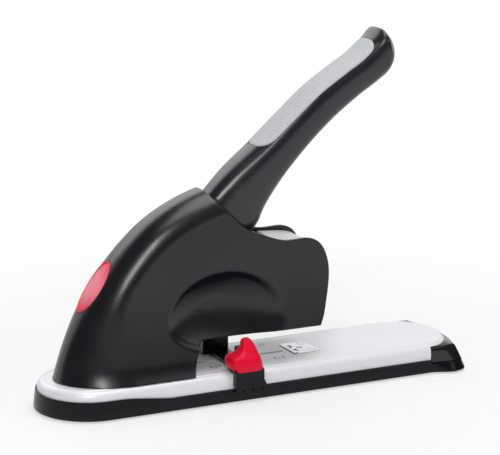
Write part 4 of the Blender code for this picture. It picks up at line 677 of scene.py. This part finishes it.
def inside_scoop(x, z, share, grow):
    """Whether a place of the side view lies inside the scoop's ring at this share of its slope."""
    scale = mix(1, SCOOP_FLOOR_SHARE, share)
    across = (x - SCOOP_CENTRE[0] - SCOOP_SHIFT[0] * share) / (SCOOP_HALF_LENGTH * scale + grow)
    up = z - SCOOP_CENTRE[1] - SCOOP_SHIFT[1] * share
    up /= (SCOOP_RISE if up > 0 else SCOOP_DROP) * scale + grow
    return across**2 + up**2 <= 1


def scoop_depth(x, z, grow):
    """How deep the scoop is at this place of the side view."""
    if not inside_scoop(x, z, 0, grow):
        return 0
    if inside_scoop(x, z, 1, grow):
        return SCOOP_DEPTH
    low, high = 0, 1
    for _ in range(14):
        middle = (low + high) / 2
        if inside_scoop(x, z, middle, grow):
            low = middle
        else:
            high = middle
    steep = 1 - (1 - low) ** SCOOP_SLOPE_POWER
    return SCOOP_DEPTH * steep * eased(low / SCOOP_RIM_SHARE)


def housing_ring(turn, inset, side_steps, corner_steps):
    """Half a section of the housing, on the near side, in the plane through the back's centre."""
    depth, corner = corner_of(turn)
    crown = back_radius(turn)
    outer = []
    for step in range(side_steps):
        radius = mix(HOUSING_CORE_RADIUS, crown - depth, step / side_steps)
        x, z = back_place(turn, radius)
        outer.append((radius, housing_half_width(z) - inset - scoop_depth(x, z, inset)))
    for step in range(corner_steps):
        roll = math.pi / 2 * step / (corner_steps - 1)
        radius = crown - depth + (depth - inset) * math.sin(roll)
        x, z = back_place(turn, radius)
        half = housing_half_width(z)
        flat = half * (1 - corner)
        outer.append((radius, flat + (half - inset - flat) * math.cos(roll) - scoop_depth(x, z, inset)))
    middle = SEAM_HALF_GAP if inset == 0 else -OVERRUN
    if outer[-1][1] - middle > 2 * GAP:
        outer.append((outer[-1][0], middle))
    else:
        outer[-1] = (outer[-1][0], middle)
        outer.append((outer[-1][0] - GAP, middle))
    outer.append((HOUSING_CORE_RADIUS, middle))
    ring = []
    for radius, y in outer:
        x, z = back_place(turn, radius)
        ring.append((x, -y, z))
    return ring


def housing_half(name, inset, steps):
    fan_steps, side_steps, corner_steps = steps
    turns = [mix(FAN_START, FAN_END, step / fan_steps) for step in range(fan_steps + 1)]
    return loft(name, [housing_ring(turn, inset, side_steps, corner_steps) for turn in turns])


def housing_outline():
    """The housing from the side: foot, leg, throat, front hump and the cut line up to the crest."""
    outside = BACK_CENTRE[0] - BACK_RADIUS - OVERRUN
    above = CREST[1] + 2 * OVERRUN
    outline = [(outside, HOUSING_FOOT)]
    outline += reversed(curve_through(LEG_FRONT, 4))
    outline.append((THROAT_END_X, THROAT_TOP))
    outline += reversed(curve_through((CREST, *CUT_LINE), 8))
    outline += [(CREST[0], above), (outside, above)]
    return outline


def hollow_outline():
    """The room inside the shells: open below the foot, over the throat, at the front and along the cut."""
    outside = BACK_CENTRE[0] - BACK_RADIUS - OVERRUN
    inner_leg = [(x - HOUSING_WALL, z) for x, z in reversed(LEG_FRONT)]
    below = HOUSING_FOOT - OVERRUN
    outline = [(outside, below), (inner_leg[0][0], below), *inner_leg]
    ceiling = THROAT_TOP + HOUSING_WALL
    outline += [(THROAT_END_X - HOUSING_WALL, ceiling), (THROAT_END_X, ceiling)]
    outline += [(THROAT_END_X, THROAT_TOP - OVERRUN), (HOUSING_REACH, THROAT_TOP - OVERRUN)]
    above = CREST[1] + 3 * OVERRUN
    return outline + [(HOUSING_REACH, above), (outside, above)]


def make_housing(looks):
    """Both shells, with smooth scoops, rounded rims and the sinks of the far side's screws."""
    near = housing_half("housing_near_skin", 0, SKIN_STEPS)
    span = HOUSING_HALF_SPAN
    keep_inside(near, prism("side_view", housing_outline(), -span, span))
    hollow = housing_half("hollow", HOUSING_WALL, HOLLOW_STEPS)
    keep_inside(hollow, prism("hollow_view", hollow_outline(), -span, span))
    half = ROOT_HALF_WIDTH + ROOT_CLEARANCE
    room = rod_y("root_room", HANDLE_PIVOT, ROOT_RADIUS + ROOT_CLEARANCE, -half, half, 96)
    rings = [badge_ring(share, GAP, -BADGE_SEAT - GAP) for share in (0.3, 0.65, 1)]
    rings += [badge_ring(share, GAP, 2 * OVERRUN) for share in (1, 0.65, 0.3)]
    cut(near, hollow, room, loft("badge_seat", rings))
    slot_low = (LEG_FRONT[-1][0] - 2 * HOUSING_WALL, -MAGAZINE_SLOT_HALF_WIDTH, MAGAZINE_SLOT_BOTTOM)
    slot_high = (THROAT_END_X + OVERRUN, MAGAZINE_SLOT_HALF_WIDTH, THROAT_TOP + 2 * HOUSING_WALL)
    cut(near, box("magazine_slot", slot_low, slot_high))
    far = near.copy()
    far.data = near.data.copy()
    far.name = "housing_far_skin"
    bpy.context.scene.collection.objects.link(far)
    for vertex in far.data.vertices:
        vertex.co.y = -vertex.co.y
    far.data.flip_normals()
    for x, z in SHELL_SCREW_PLACES:
        surface = skin_half_width(x, z) - scoop_depth(x, z, 0)
        sink = surface - SCREW_SINK_DEPTH
        cut(far, rod_y("sink", (x, z), SCREW_SINK_RADIUS, sink, surface + OVERRUN))
    for shell, node in ((near, "housing_shell_near"), (far, "housing_shell_far")):
        round_edges(shell, RIM_ROUNDING, math.radians(35))
        smooth(shell, math.radians(40))
        dress(shell, looks["charcoal_plastic"], "base", node)


def dress(piece, look, body, node):
    """Gives a finer piece its finish and its body, and puts it in the place of a solid."""
    piece.data.materials.clear()
    piece.data.materials.append(look)
    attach(piece, body)
    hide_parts(node)


def badge_ring(scale, grow, rise):
    """An oval ring on the housing's back, raised over its skin."""
    middle = math.pi - math.asin((BADGE_Z - BACK_CENTRE[1]) / BACK_RADIUS)
    ring = []
    for step in range(BADGE_SIDES):
        roll = math.tau * step / BADGE_SIDES
        along = (BADGE_HALF_LENGTH + grow) * scale * math.cos(roll)
        y = (BADGE_HALF_WIDTH + grow) * scale * math.sin(roll)
        turn = middle + along / BACK_RADIUS
        x, z = back_place(turn, skin_radius(turn, y) + rise)
        ring.append((x, y, z))
    return ring


def make_badge(looks):
    """A plain domed badge inside a low rounded rim."""
    rings = [badge_ring(share, 0, -BADGE_SEAT) for share in (0.3, 0.65, 1)]
    for step in range(7):
        roll = math.pi * step / 6
        rings.append(badge_ring(0.965 + 0.035 * math.cos(roll), 0, BADGE_RIM_RISE * math.sin(roll)))
    for step in range(1, 10):
        share = 0.93 * (1 - step / 10)
        rings.append(badge_ring(share, 0, BADGE_DOME_RISE * (1 - share**2)))
    badge = smooth(loft("badge_skin", rings))
    dress(badge, looks["red_plastic"], "base", "rear_badge")


def handle_frame(share):
    """Middle, up direction, half depth and half width of the handle at a share of its stations."""
    last = len(HANDLE_STATIONS) - 1
    place = min(max(share, 0), 1) * last
    i = min(int(place), last - 1)
    near = (HANDLE_STATIONS[min(max(j, 0), last)] for j in (i - 1, i, i + 1, i + 2))
    upper_x, upper_z, lower_x, lower_z, half_width = spline_point(*near, place - i)
    upper = Vector((upper_x, 0, upper_z))
    lower = Vector((lower_x, 0, lower_z))
    depth = upper - lower
    return (upper + lower) / 2, depth.normalized(), depth.length / 2, half_width


def handle_ring(share):
    middle, up, half_depth, half_width = handle_frame(share)
    ring = []
    for step in range(HANDLE_SIDES):
        roll = math.tau * step / HANDLE_SIDES
        height = half_depth * rounded(math.sin(roll), HANDLE_SQUARENESS)
        y = half_width * rounded(math.cos(roll), HANDLE_SQUARENESS)
        ring.append(middle + up * height + Vector((0, y, 0)))
    return ring


def inlay_outline(scale, grow):
    """The inlay's outline along the handle and across it: straight sides with blunt round ends."""
    straight = INLAY_HALF_LENGTH - INLAY_HALF_WIDTH
    radius = (INLAY_HALF_WIDTH + grow) * scale
    half = []
    for x, y in arc((0, 0), 1, -math.pi / 2, math.pi / 2, 28):
        blunt = rounded(x, HANDLE_SQUARENESS)
        half.append((straight * scale + radius * blunt, radius * rounded(y, HANDLE_SQUARENESS)))
    for step in range(1, 36):
        half.append((straight * scale * (1 - 2 * step / 36), radius))
    return half + [(-x, -y) for x, y in half]


def inlay_ring(scale, grow, rise):
    """The inlay's outline laid on the handle's top face, raised over it."""
    ring = []
    for along, y in inlay_outline(scale, grow):
        spread = (along / INLAY_HALF_LENGTH + 1) / 2
        middle, up, half_depth, half_width = handle_frame(mix(INLAY_START_SHARE, INLAY_END_SHARE, spread))
        over = half_depth * (1 - abs(y / half_width) ** HANDLE_SQUARENESS) ** (1 / HANDLE_SQUARENESS)
        ring.append(middle + up * (over + rise) + Vector((0, y, 0)))
    return ring


def inlay_solid(name, grow, rise):
    rings = [inlay_ring(scale, grow, -INLAY_DEPTH - 2 * grow) for scale in (*INLAY_INNER_SHARES, 1)]
    if grow:
        rings.append(inlay_ring(1, grow, rise))
    else:
        rings += [inlay_ring(1, 0, -rise), inlay_ring(0.99, 0, rise / 2), inlay_ring(0.97, 0, rise)]
    rings += [inlay_ring(scale, grow, rise) for scale in reversed(INLAY_INNER_SHARES)]
    return loft(name, rings)


def make_handle(looks):
    """The handle with its root, and the grey inlay in its seat."""
    handle = loft("handle_skin", [handle_ring(step / HANDLE_STEPS) for step in range(HANDLE_STEPS + 1)])
    root = [HANDLE_PIVOT, *arc(HANDLE_PIVOT, ROOT_RADIUS, ROOT_LOW_ANGLE, ROOT_HIGH_ANGLE, 60)]
    join(handle, prism("root", root, -ROOT_HALF_WIDTH, ROOT_HALF_WIDTH))
    half = ROOT_BOSS_HALF_WIDTH
    join(handle, rod_y("root_boss", HANDLE_PIVOT, ROOT_BOSS_RADIUS, -half, half, 48))
    cut(handle, inlay_solid("inlay_seat", GAP, OVERRUN))
    smooth(handle, math.radians(40))
    dress(handle, looks["black_plastic"], "handle", "handle_body")
    inlay = smooth(inlay_solid("inlay_skin", 0, INLAY_RISE), math.radians(50))
    dress(inlay, looks["grey_inlay"], "handle", "handle_grip_inlay")


def knob_ring(level):
    """A rounded section of the release knob at one height."""
    z, left, right, front, back = level
    middle_x = KNOB_X + (left + right) / 2
    middle_y = (front + back) / 2
    ring = []
    for step in range(KNOB_SIDES):
        roll = math.tau * step / KNOB_SIDES
        x = middle_x + (right - left) / 2 * rounded(math.cos(roll), KNOB_SQUARENESS)
        y = middle_y + (back - front) / 2 * rounded(math.sin(roll), KNOB_SQUARENESS)
        ring.append((x, y, z))
    return ring


def make_knob(looks):
    """The red knob, its lower front edge over the clip's face."""
    knob = loft("knob_skin", [knob_ring(level) for level in curve_through(KNOB_LEVELS, 5)])
    reach = HOUSING_HALF_SPAN
    clip_top = CLIP_TOP + KNOB_CLIP_ROOM
    cut(knob, box("clip_room", (-2 * reach, -CLIP_FACE_Y - GAP, 0), (reach, reach, clip_top)))
    cut(knob, box("lug_room", *KNOB_HOLLOW))
    smooth(knob, math.radians(45))
    dress(knob, looks["red_plastic"], "release_knob", "guide_release_knob")


class Surface:
    """A Principled material that grows by small steps."""

    def __init__(self, name, colour, roughness, metallic=0.0, specular=0.5):
        self.material = bpy.data.materials.new(name)
        self.material.use_nodes = True
        self.nodes = self.material.node_tree.nodes
        self.links = self.material.node_tree.links
        self.shader = self.nodes["Principled BSDF"]
        self.shader.inputs["Base Color"].default_value = (*colour, 1)
        self.shader.inputs["Roughness"].default_value = roughness
        self.shader.inputs["Metallic"].default_value = metallic
        self.shader.inputs["Specular IOR Level"].default_value = specular
        self.place = self.nodes.new("ShaderNodeTexCoord").outputs["Object"]

    def noise(self, size, detail=2.0, stretch=(1, 1, 1)):
        """Noise whose grains are about this size in metres."""
        mapping = self.nodes.new("ShaderNodeMapping")
        mapping.inputs["Scale"].default_value = stretch
        self.links.new(self.place, mapping.inputs["Vector"])
        noise = self.nodes.new("ShaderNodeTexNoise")
        noise.inputs["Scale"].default_value = 1 / size
        noise.inputs["Detail"].default_value = detail
        self.links.new(mapping.outputs["Vector"], noise.inputs["Vector"])
        return noise.outputs["Fac"]

    def spread(self, value, low, high, to_low, to_high):
        """Turns one range of a value into another."""
        turn = self.nodes.new("ShaderNodeMapRange")
        turn.inputs["From Min"].default_value = low
        turn.inputs["From Max"].default_value = high
        turn.inputs["To Min"].default_value = to_low
        turn.inputs["To Max"].default_value = to_high
        self.links.new(value, turn.inputs["Value"])
        return turn.outputs["Result"]

    def blend_colours(self, value, first, second):
        blend = self.nodes.new("ShaderNodeMix")
        blend.data_type = "RGBA"
        self.links.new(value, blend.inputs["Factor"])
        blend.inputs[6].default_value = (*first, 1)
        blend.inputs[7].default_value = (*second, 1)
        return blend.outputs[2]

    def colour_from(self, value, first, second):
        self.links.new(self.blend_colours(value, first, second), self.shader.inputs["Base Color"])

    def roughness_from(self, value):
        self.links.new(value, self.shader.inputs["Roughness"])

    def bump(self, value, height, strength=1.0):
        bump = self.nodes.new("ShaderNodeBump")
        bump.inputs["Strength"].default_value = strength
        bump.inputs["Distance"].default_value = height
        self.links.new(value, bump.inputs["Height"])
        self.links.new(bump.outputs["Normal"], self.shader.inputs["Normal"])

    def specular_from(self, value):
        self.links.new(value, self.shader.inputs["Specular IOR Level"])

    def height_share(self, low, high):
        """How far up a place lies between two heights, from 0 to 1."""
        parts = self.nodes.new("ShaderNodeSeparateXYZ")
        self.links.new(self.place, parts.inputs["Vector"])
        return self.spread(parts.outputs["Z"], low, high, 0, 1)

    def upward(self, low, high, to_low, to_high):
        """A value that follows how far the surface faces up."""
        surface = self.nodes.new("ShaderNodeNewGeometry")
        parts = self.nodes.new("ShaderNodeSeparateXYZ")
        self.links.new(surface.outputs["Normal"], parts.inputs["Vector"])
        return self.spread(parts.outputs["Z"], low, high, to_low, to_high)

    def nearness(self, centre, near, far):
        """1 within the near distance of a place, 0 beyond the far one."""
        measure = self.nodes.new("ShaderNodeVectorMath")
        measure.operation = "DISTANCE"
        measure.inputs[1].default_value = centre
        self.links.new(self.place, measure.inputs[0])
        return self.spread(measure.outputs["Value"], near, far, 1, 0)


def charcoal_plastic():
    """Satin moulded plastic with a very fine grain, and painted shade on the undersides: weaker reflections
    where it faces down.
    """
    look = Surface("charcoal_plastic", (0.005, 0.005, 0.007), 0.27)
    look.roughness_from(look.spread(look.noise(0.0300), 0.3, 0.7, 0.24, 0.31))
    look.colour_from(look.noise(0.0500), (0.004, 0.004, 0.006), (0.006, 0.006, 0.009))
    # Painted shade: the specular level falls where the surface faces down, so the scoop's upper wall and
    # other undersides render dark.
    look.specular_from(look.upward(-0.32, 0.06, 0.01, 0.56))
    look.bump(look.noise(0.0004, 3.0), 0.00002, 0.3)
    return look.material


def black_plastic():
    """Satin plastic with painted shade low down on the base: darker and with weaker reflections there."""
    look = Surface("black_plastic", (0.010, 0.010, 0.012), 0.26)
    look.roughness_from(look.spread(look.noise(0.0250), 0.3, 0.7, 0.22, 0.30))
    # Painted shade: colour and specular level fall towards the floor, darkening the skirt and the lowest
    # parts.
    look.colour_from(look.height_share(0.015, 0.090), (0.004, 0.004, 0.006), (0.012, 0.012, 0.016))
    look.specular_from(look.spread(look.height_share(0.015, 0.090), 0, 1, 0.22, 0.60))
    look.bump(look.noise(0.0005, 3.0), 0.00002, 0.3)
    return look.material


def black_gloss():
    look = Surface("black_gloss", (0.006, 0.006, 0.008), 0.13)
    look.roughness_from(look.spread(look.noise(0.0200), 0.3, 0.7, 0.10, 0.18))
    look.colour_from(look.noise(0.0200), (0.005, 0.005, 0.007), (0.009, 0.009, 0.011))
    look.bump(look.noise(0.0080), 0.00003, 0.3)
    return look.material


def silver_paint():
    """Pale silver lacquer with fine metal flakes."""
    look = Surface("silver_paint", (0.84, 0.84, 0.87), 0.36, 0.10)
    look.colour_from(look.noise(0.0004, 2.0), (0.81, 0.81, 0.84), (0.87, 0.87, 0.90))
    look.roughness_from(look.spread(look.noise(0.0200), 0.3, 0.7, 0.31, 0.41))
    look.bump(look.noise(0.0005), 0.000005, 0.3)
    return look.material


def grey_inlay():
    """Speckled soft-touch rubber."""
    look = Surface("grey_inlay", (0.520, 0.525, 0.540), 0.70, specular=0.35)
    speckle = look.spread(look.noise(0.0009, 4.0), 0.42, 0.60, 0.0, 1.0)
    look.colour_from(speckle, (0.480, 0.485, 0.500), (0.570, 0.575, 0.590))
    look.bump(look.noise(0.0008, 4.0), 0.00008, 0.5)
    return look.material


def red_plastic():
    """Clear red plastic. The badge on the rear has a painted highlight: paler pink towards its middle."""
    look = Surface("red_plastic", (0.80, 0.004, 0.036), 0.30, specular=0.15)
    turn = math.pi - math.asin((BADGE_Z - BACK_CENTRE[1]) / BACK_RADIUS)
    x, z = back_place(turn, BACK_RADIUS)
    # Painted highlight: the badge's middle is blended to pale pink in place of the sheen its domed face would
    # reflect.
    painted_highlight = look.nearness((x, 0, z), 0.35 * BADGE_HALF_LENGTH, 1.05 * BADGE_HALF_LENGTH)
    look.colour_from(painted_highlight, (0.80, 0.004, 0.036), (0.95, 0.270, 0.340))
    look.roughness_from(look.spread(look.noise(0.0100), 0.3, 0.7, 0.24, 0.36))
    look.bump(look.noise(0.0006), 0.00001, 0.3)
    return look.material


def brushed_steel():
    look = Surface("brushed_steel", (0.74, 0.75, 0.77), 0.40, 1.0)
    look.roughness_from(look.spread(look.noise(0.0020, 3.0, (0.04, 1, 1)), 0.3, 0.7, 0.34, 0.48))
    look.colour_from(look.noise(0.0015, 3.0, (0.05, 1, 1)), (0.69, 0.70, 0.72), (0.79, 0.80, 0.82))
    look.bump(look.noise(0.0006, 3.0, (0.03, 1, 1)), 0.00002, 0.5)
    return look.material


def dark_steel():
    look = Surface("dark_steel", (0.16, 0.16, 0.17), 0.42, 1.0)
    look.roughness_from(look.spread(look.noise(0.0030), 0.3, 0.7, 0.34, 0.52))
    look.colour_from(look.noise(0.0040), (0.12, 0.12, 0.13), (0.20, 0.20, 0.21))
    look.bump(look.noise(0.0007), 0.00002, 0.4)
    return look.material


def brass():
    look = Surface("brass", (0.72, 0.52, 0.22), 0.30, 1.0)
    look.colour_from(look.noise(0.0030), (0.64, 0.45, 0.18), (0.78, 0.58, 0.27))
    look.bump(look.noise(0.0006), 0.00002, 0.4)
    return look.material


def rubber():
    look = Surface("rubber", (0.014, 0.014, 0.014), 0.88)
    look.colour_from(look.noise(0.0020), (0.011, 0.011, 0.011), (0.020, 0.020, 0.020))
    look.bump(look.noise(0.0007, 3.0), 0.00010, 0.6)
    return look.material


MAKERS = {
    "charcoal_plastic": charcoal_plastic,
    "black_plastic": black_plastic,
    "black_gloss": black_gloss,
    "silver_paint": silver_paint,
    "grey_inlay": grey_inlay,
    "red_plastic": red_plastic,
    "steel": brushed_steel,
    "dark_steel": dark_steel,
    "brass": brass,
    "rubber": rubber,
}


def dress_frame(looks):
    """Gives every CAD piece the finish of its slot, and smooth shading."""
    for part in frame["record"]["subparts"]:
        body = frame["nodes"][part["node"]]
        body.data.materials.clear()
        body.data.materials.append(looks[part["material_slot"]])
        smooth(body)


def floor_sheet():
    """Points of the floor, which curves up into a backdrop far behind the stapler."""
    points = []
    faces = []
    profile = [(-4, 0), (-1.5, 0), (0, 0), (1.5, 0)]
    profile += [(2.4 + 0.9 * math.cos(turn), 0.9 + 0.9 * math.sin(turn))
                for turn in [-math.pi / 2 + math.pi / 2 * step / 8 for step in range(9)]]
    profile.append((3.3, 4))
    for y, z in profile:
        points += [(-5, y, z), (5, y, z)]
    for i in range(len(profile) - 1):
        faces.append((2 * i, 2 * i + 1, 2 * i + 3, 2 * i + 2))
    return points, faces


def make_floor():
    """A pale floor and backdrop, with the shadow near the stapler and plain white further off."""
    points, faces = floor_sheet()
    mesh = bpy.data.meshes.new("floor")
    mesh.from_pydata(points, [], faces)
    floor = bpy.data.objects.new("floor", mesh)
    bpy.context.scene.collection.objects.link(floor)
    paint = bpy.data.materials.new("floor")
    paint.use_nodes = True
    nodes = paint.node_tree.nodes
    links = paint.node_tree.links
    shader = nodes["Principled BSDF"]
    shader.inputs["Base Color"].default_value = FLOOR_COLOUR
    shader.inputs["Roughness"].default_value = FLOOR_ROUGHNESS
    shader.inputs["Specular IOR Level"].default_value = FLOOR_SHINE
    glow = nodes.new("ShaderNodeEmission")
    blend = nodes.new("ShaderNodeMixShader")
    seen = nodes.new("ShaderNodeLightPath")
    place = nodes.new("ShaderNodeTexCoord")
    distance = nodes.new("ShaderNodeVectorMath")
    distance.operation = "LENGTH"
    links.new(place.outputs["Object"], distance.inputs[0])
    fade = nodes.new("ShaderNodeMapRange")
    fade.inputs["From Min"].default_value = SHADOW_REACH
    fade.inputs["From Max"].default_value = WHITE_FROM
    fade.inputs["To Min"].default_value = NEAR_GLOW
    fade.inputs["To Max"].default_value = 1.0
    links.new(distance.outputs["Value"], fade.inputs["Value"])
    shown = nodes.new("ShaderNodeMath")
    shown.operation = "MAXIMUM"
    links.new(seen.outputs["Is Camera Ray"], shown.inputs[0])
    links.new(seen.outputs["Is Glossy Ray"], shown.inputs[1])
    also = nodes.new("ShaderNodeMath")
    also.operation = "MAXIMUM"
    links.new(shown.outputs["Value"], also.inputs[0])
    links.new(seen.outputs["Is Transmission Ray"], also.inputs[1])
    share = nodes.new("ShaderNodeMath")
    share.operation = "MULTIPLY"
    links.new(also.outputs["Value"], share.inputs[0])
    links.new(fade.outputs["Result"], share.inputs[1])
    links.new(share.outputs["Value"], blend.inputs["Fac"])
    links.new(shader.outputs["BSDF"], blend.inputs[1])
    links.new(glow.outputs["Emission"], blend.inputs[2])
    links.new(blend.outputs["Shader"], nodes["Material Output"].inputs["Surface"])
    mesh.materials.append(paint)


def make_world():
    """White where the camera looks past the floor, and a dim even fill elsewhere."""
    world = bpy.data.worlds.new("studio")
    bpy.context.scene.world = world
    world.use_nodes = True
    nodes = world.node_tree.nodes
    links = world.node_tree.links
    backdrop = nodes["Background"]
    backdrop.inputs["Color"].default_value = (1, 1, 1, 1)
    fill = nodes.new("ShaderNodeBackground")
    fill.inputs["Color"].default_value = FILL_COLOUR
    fill.inputs["Strength"].default_value = FILL_STRENGTH
    seen = nodes.new("ShaderNodeLightPath")
    choose = nodes.new("ShaderNodeMixShader")
    links.new(seen.outputs["Is Camera Ray"], choose.inputs["Fac"])
    links.new(fill.outputs["Background"], choose.inputs[1])
    links.new(backdrop.outputs["Background"], choose.inputs[2])
    links.new(choose.outputs["Shader"], nodes["World Output"].inputs["Surface"])


def make_lamp(name, direction, distance, size, radiance):
    """A softbox that looks at the stapler and shines at this level over its whole face."""
    middle = Vector(LAMP_AIM)
    toward = Vector(direction).normalized()
    data = bpy.data.lights.new(name, "AREA")
    data.shape = "RECTANGLE"
    data.size, data.size_y = size
    data.energy = radiance * math.pi * size[0] * size[1]
    lamp = bpy.data.objects.new(name, data)
    bpy.context.scene.collection.objects.link(lamp)
    lamp.location = middle + toward * distance
    lamp.rotation_euler = toward.to_track_quat("Z", "Y").to_euler()


def make_lights():
    for lamp in LAMPS:
        make_lamp(*lamp)


def main():
    bpy.context.scene.view_settings.view_transform = "Standard"
    looks = {slot: maker() for slot, maker in MAKERS.items()}
    dress_frame(looks)
    make_deck(looks)
    make_deck_marks(looks)
    make_skirt(looks)
    make_cap(looks)
    make_housing(looks)
    make_badge(looks)
    make_handle(looks)
    make_knob(looks)
    make_camera()
    make_world()
    make_floor()
    make_lights()


main()
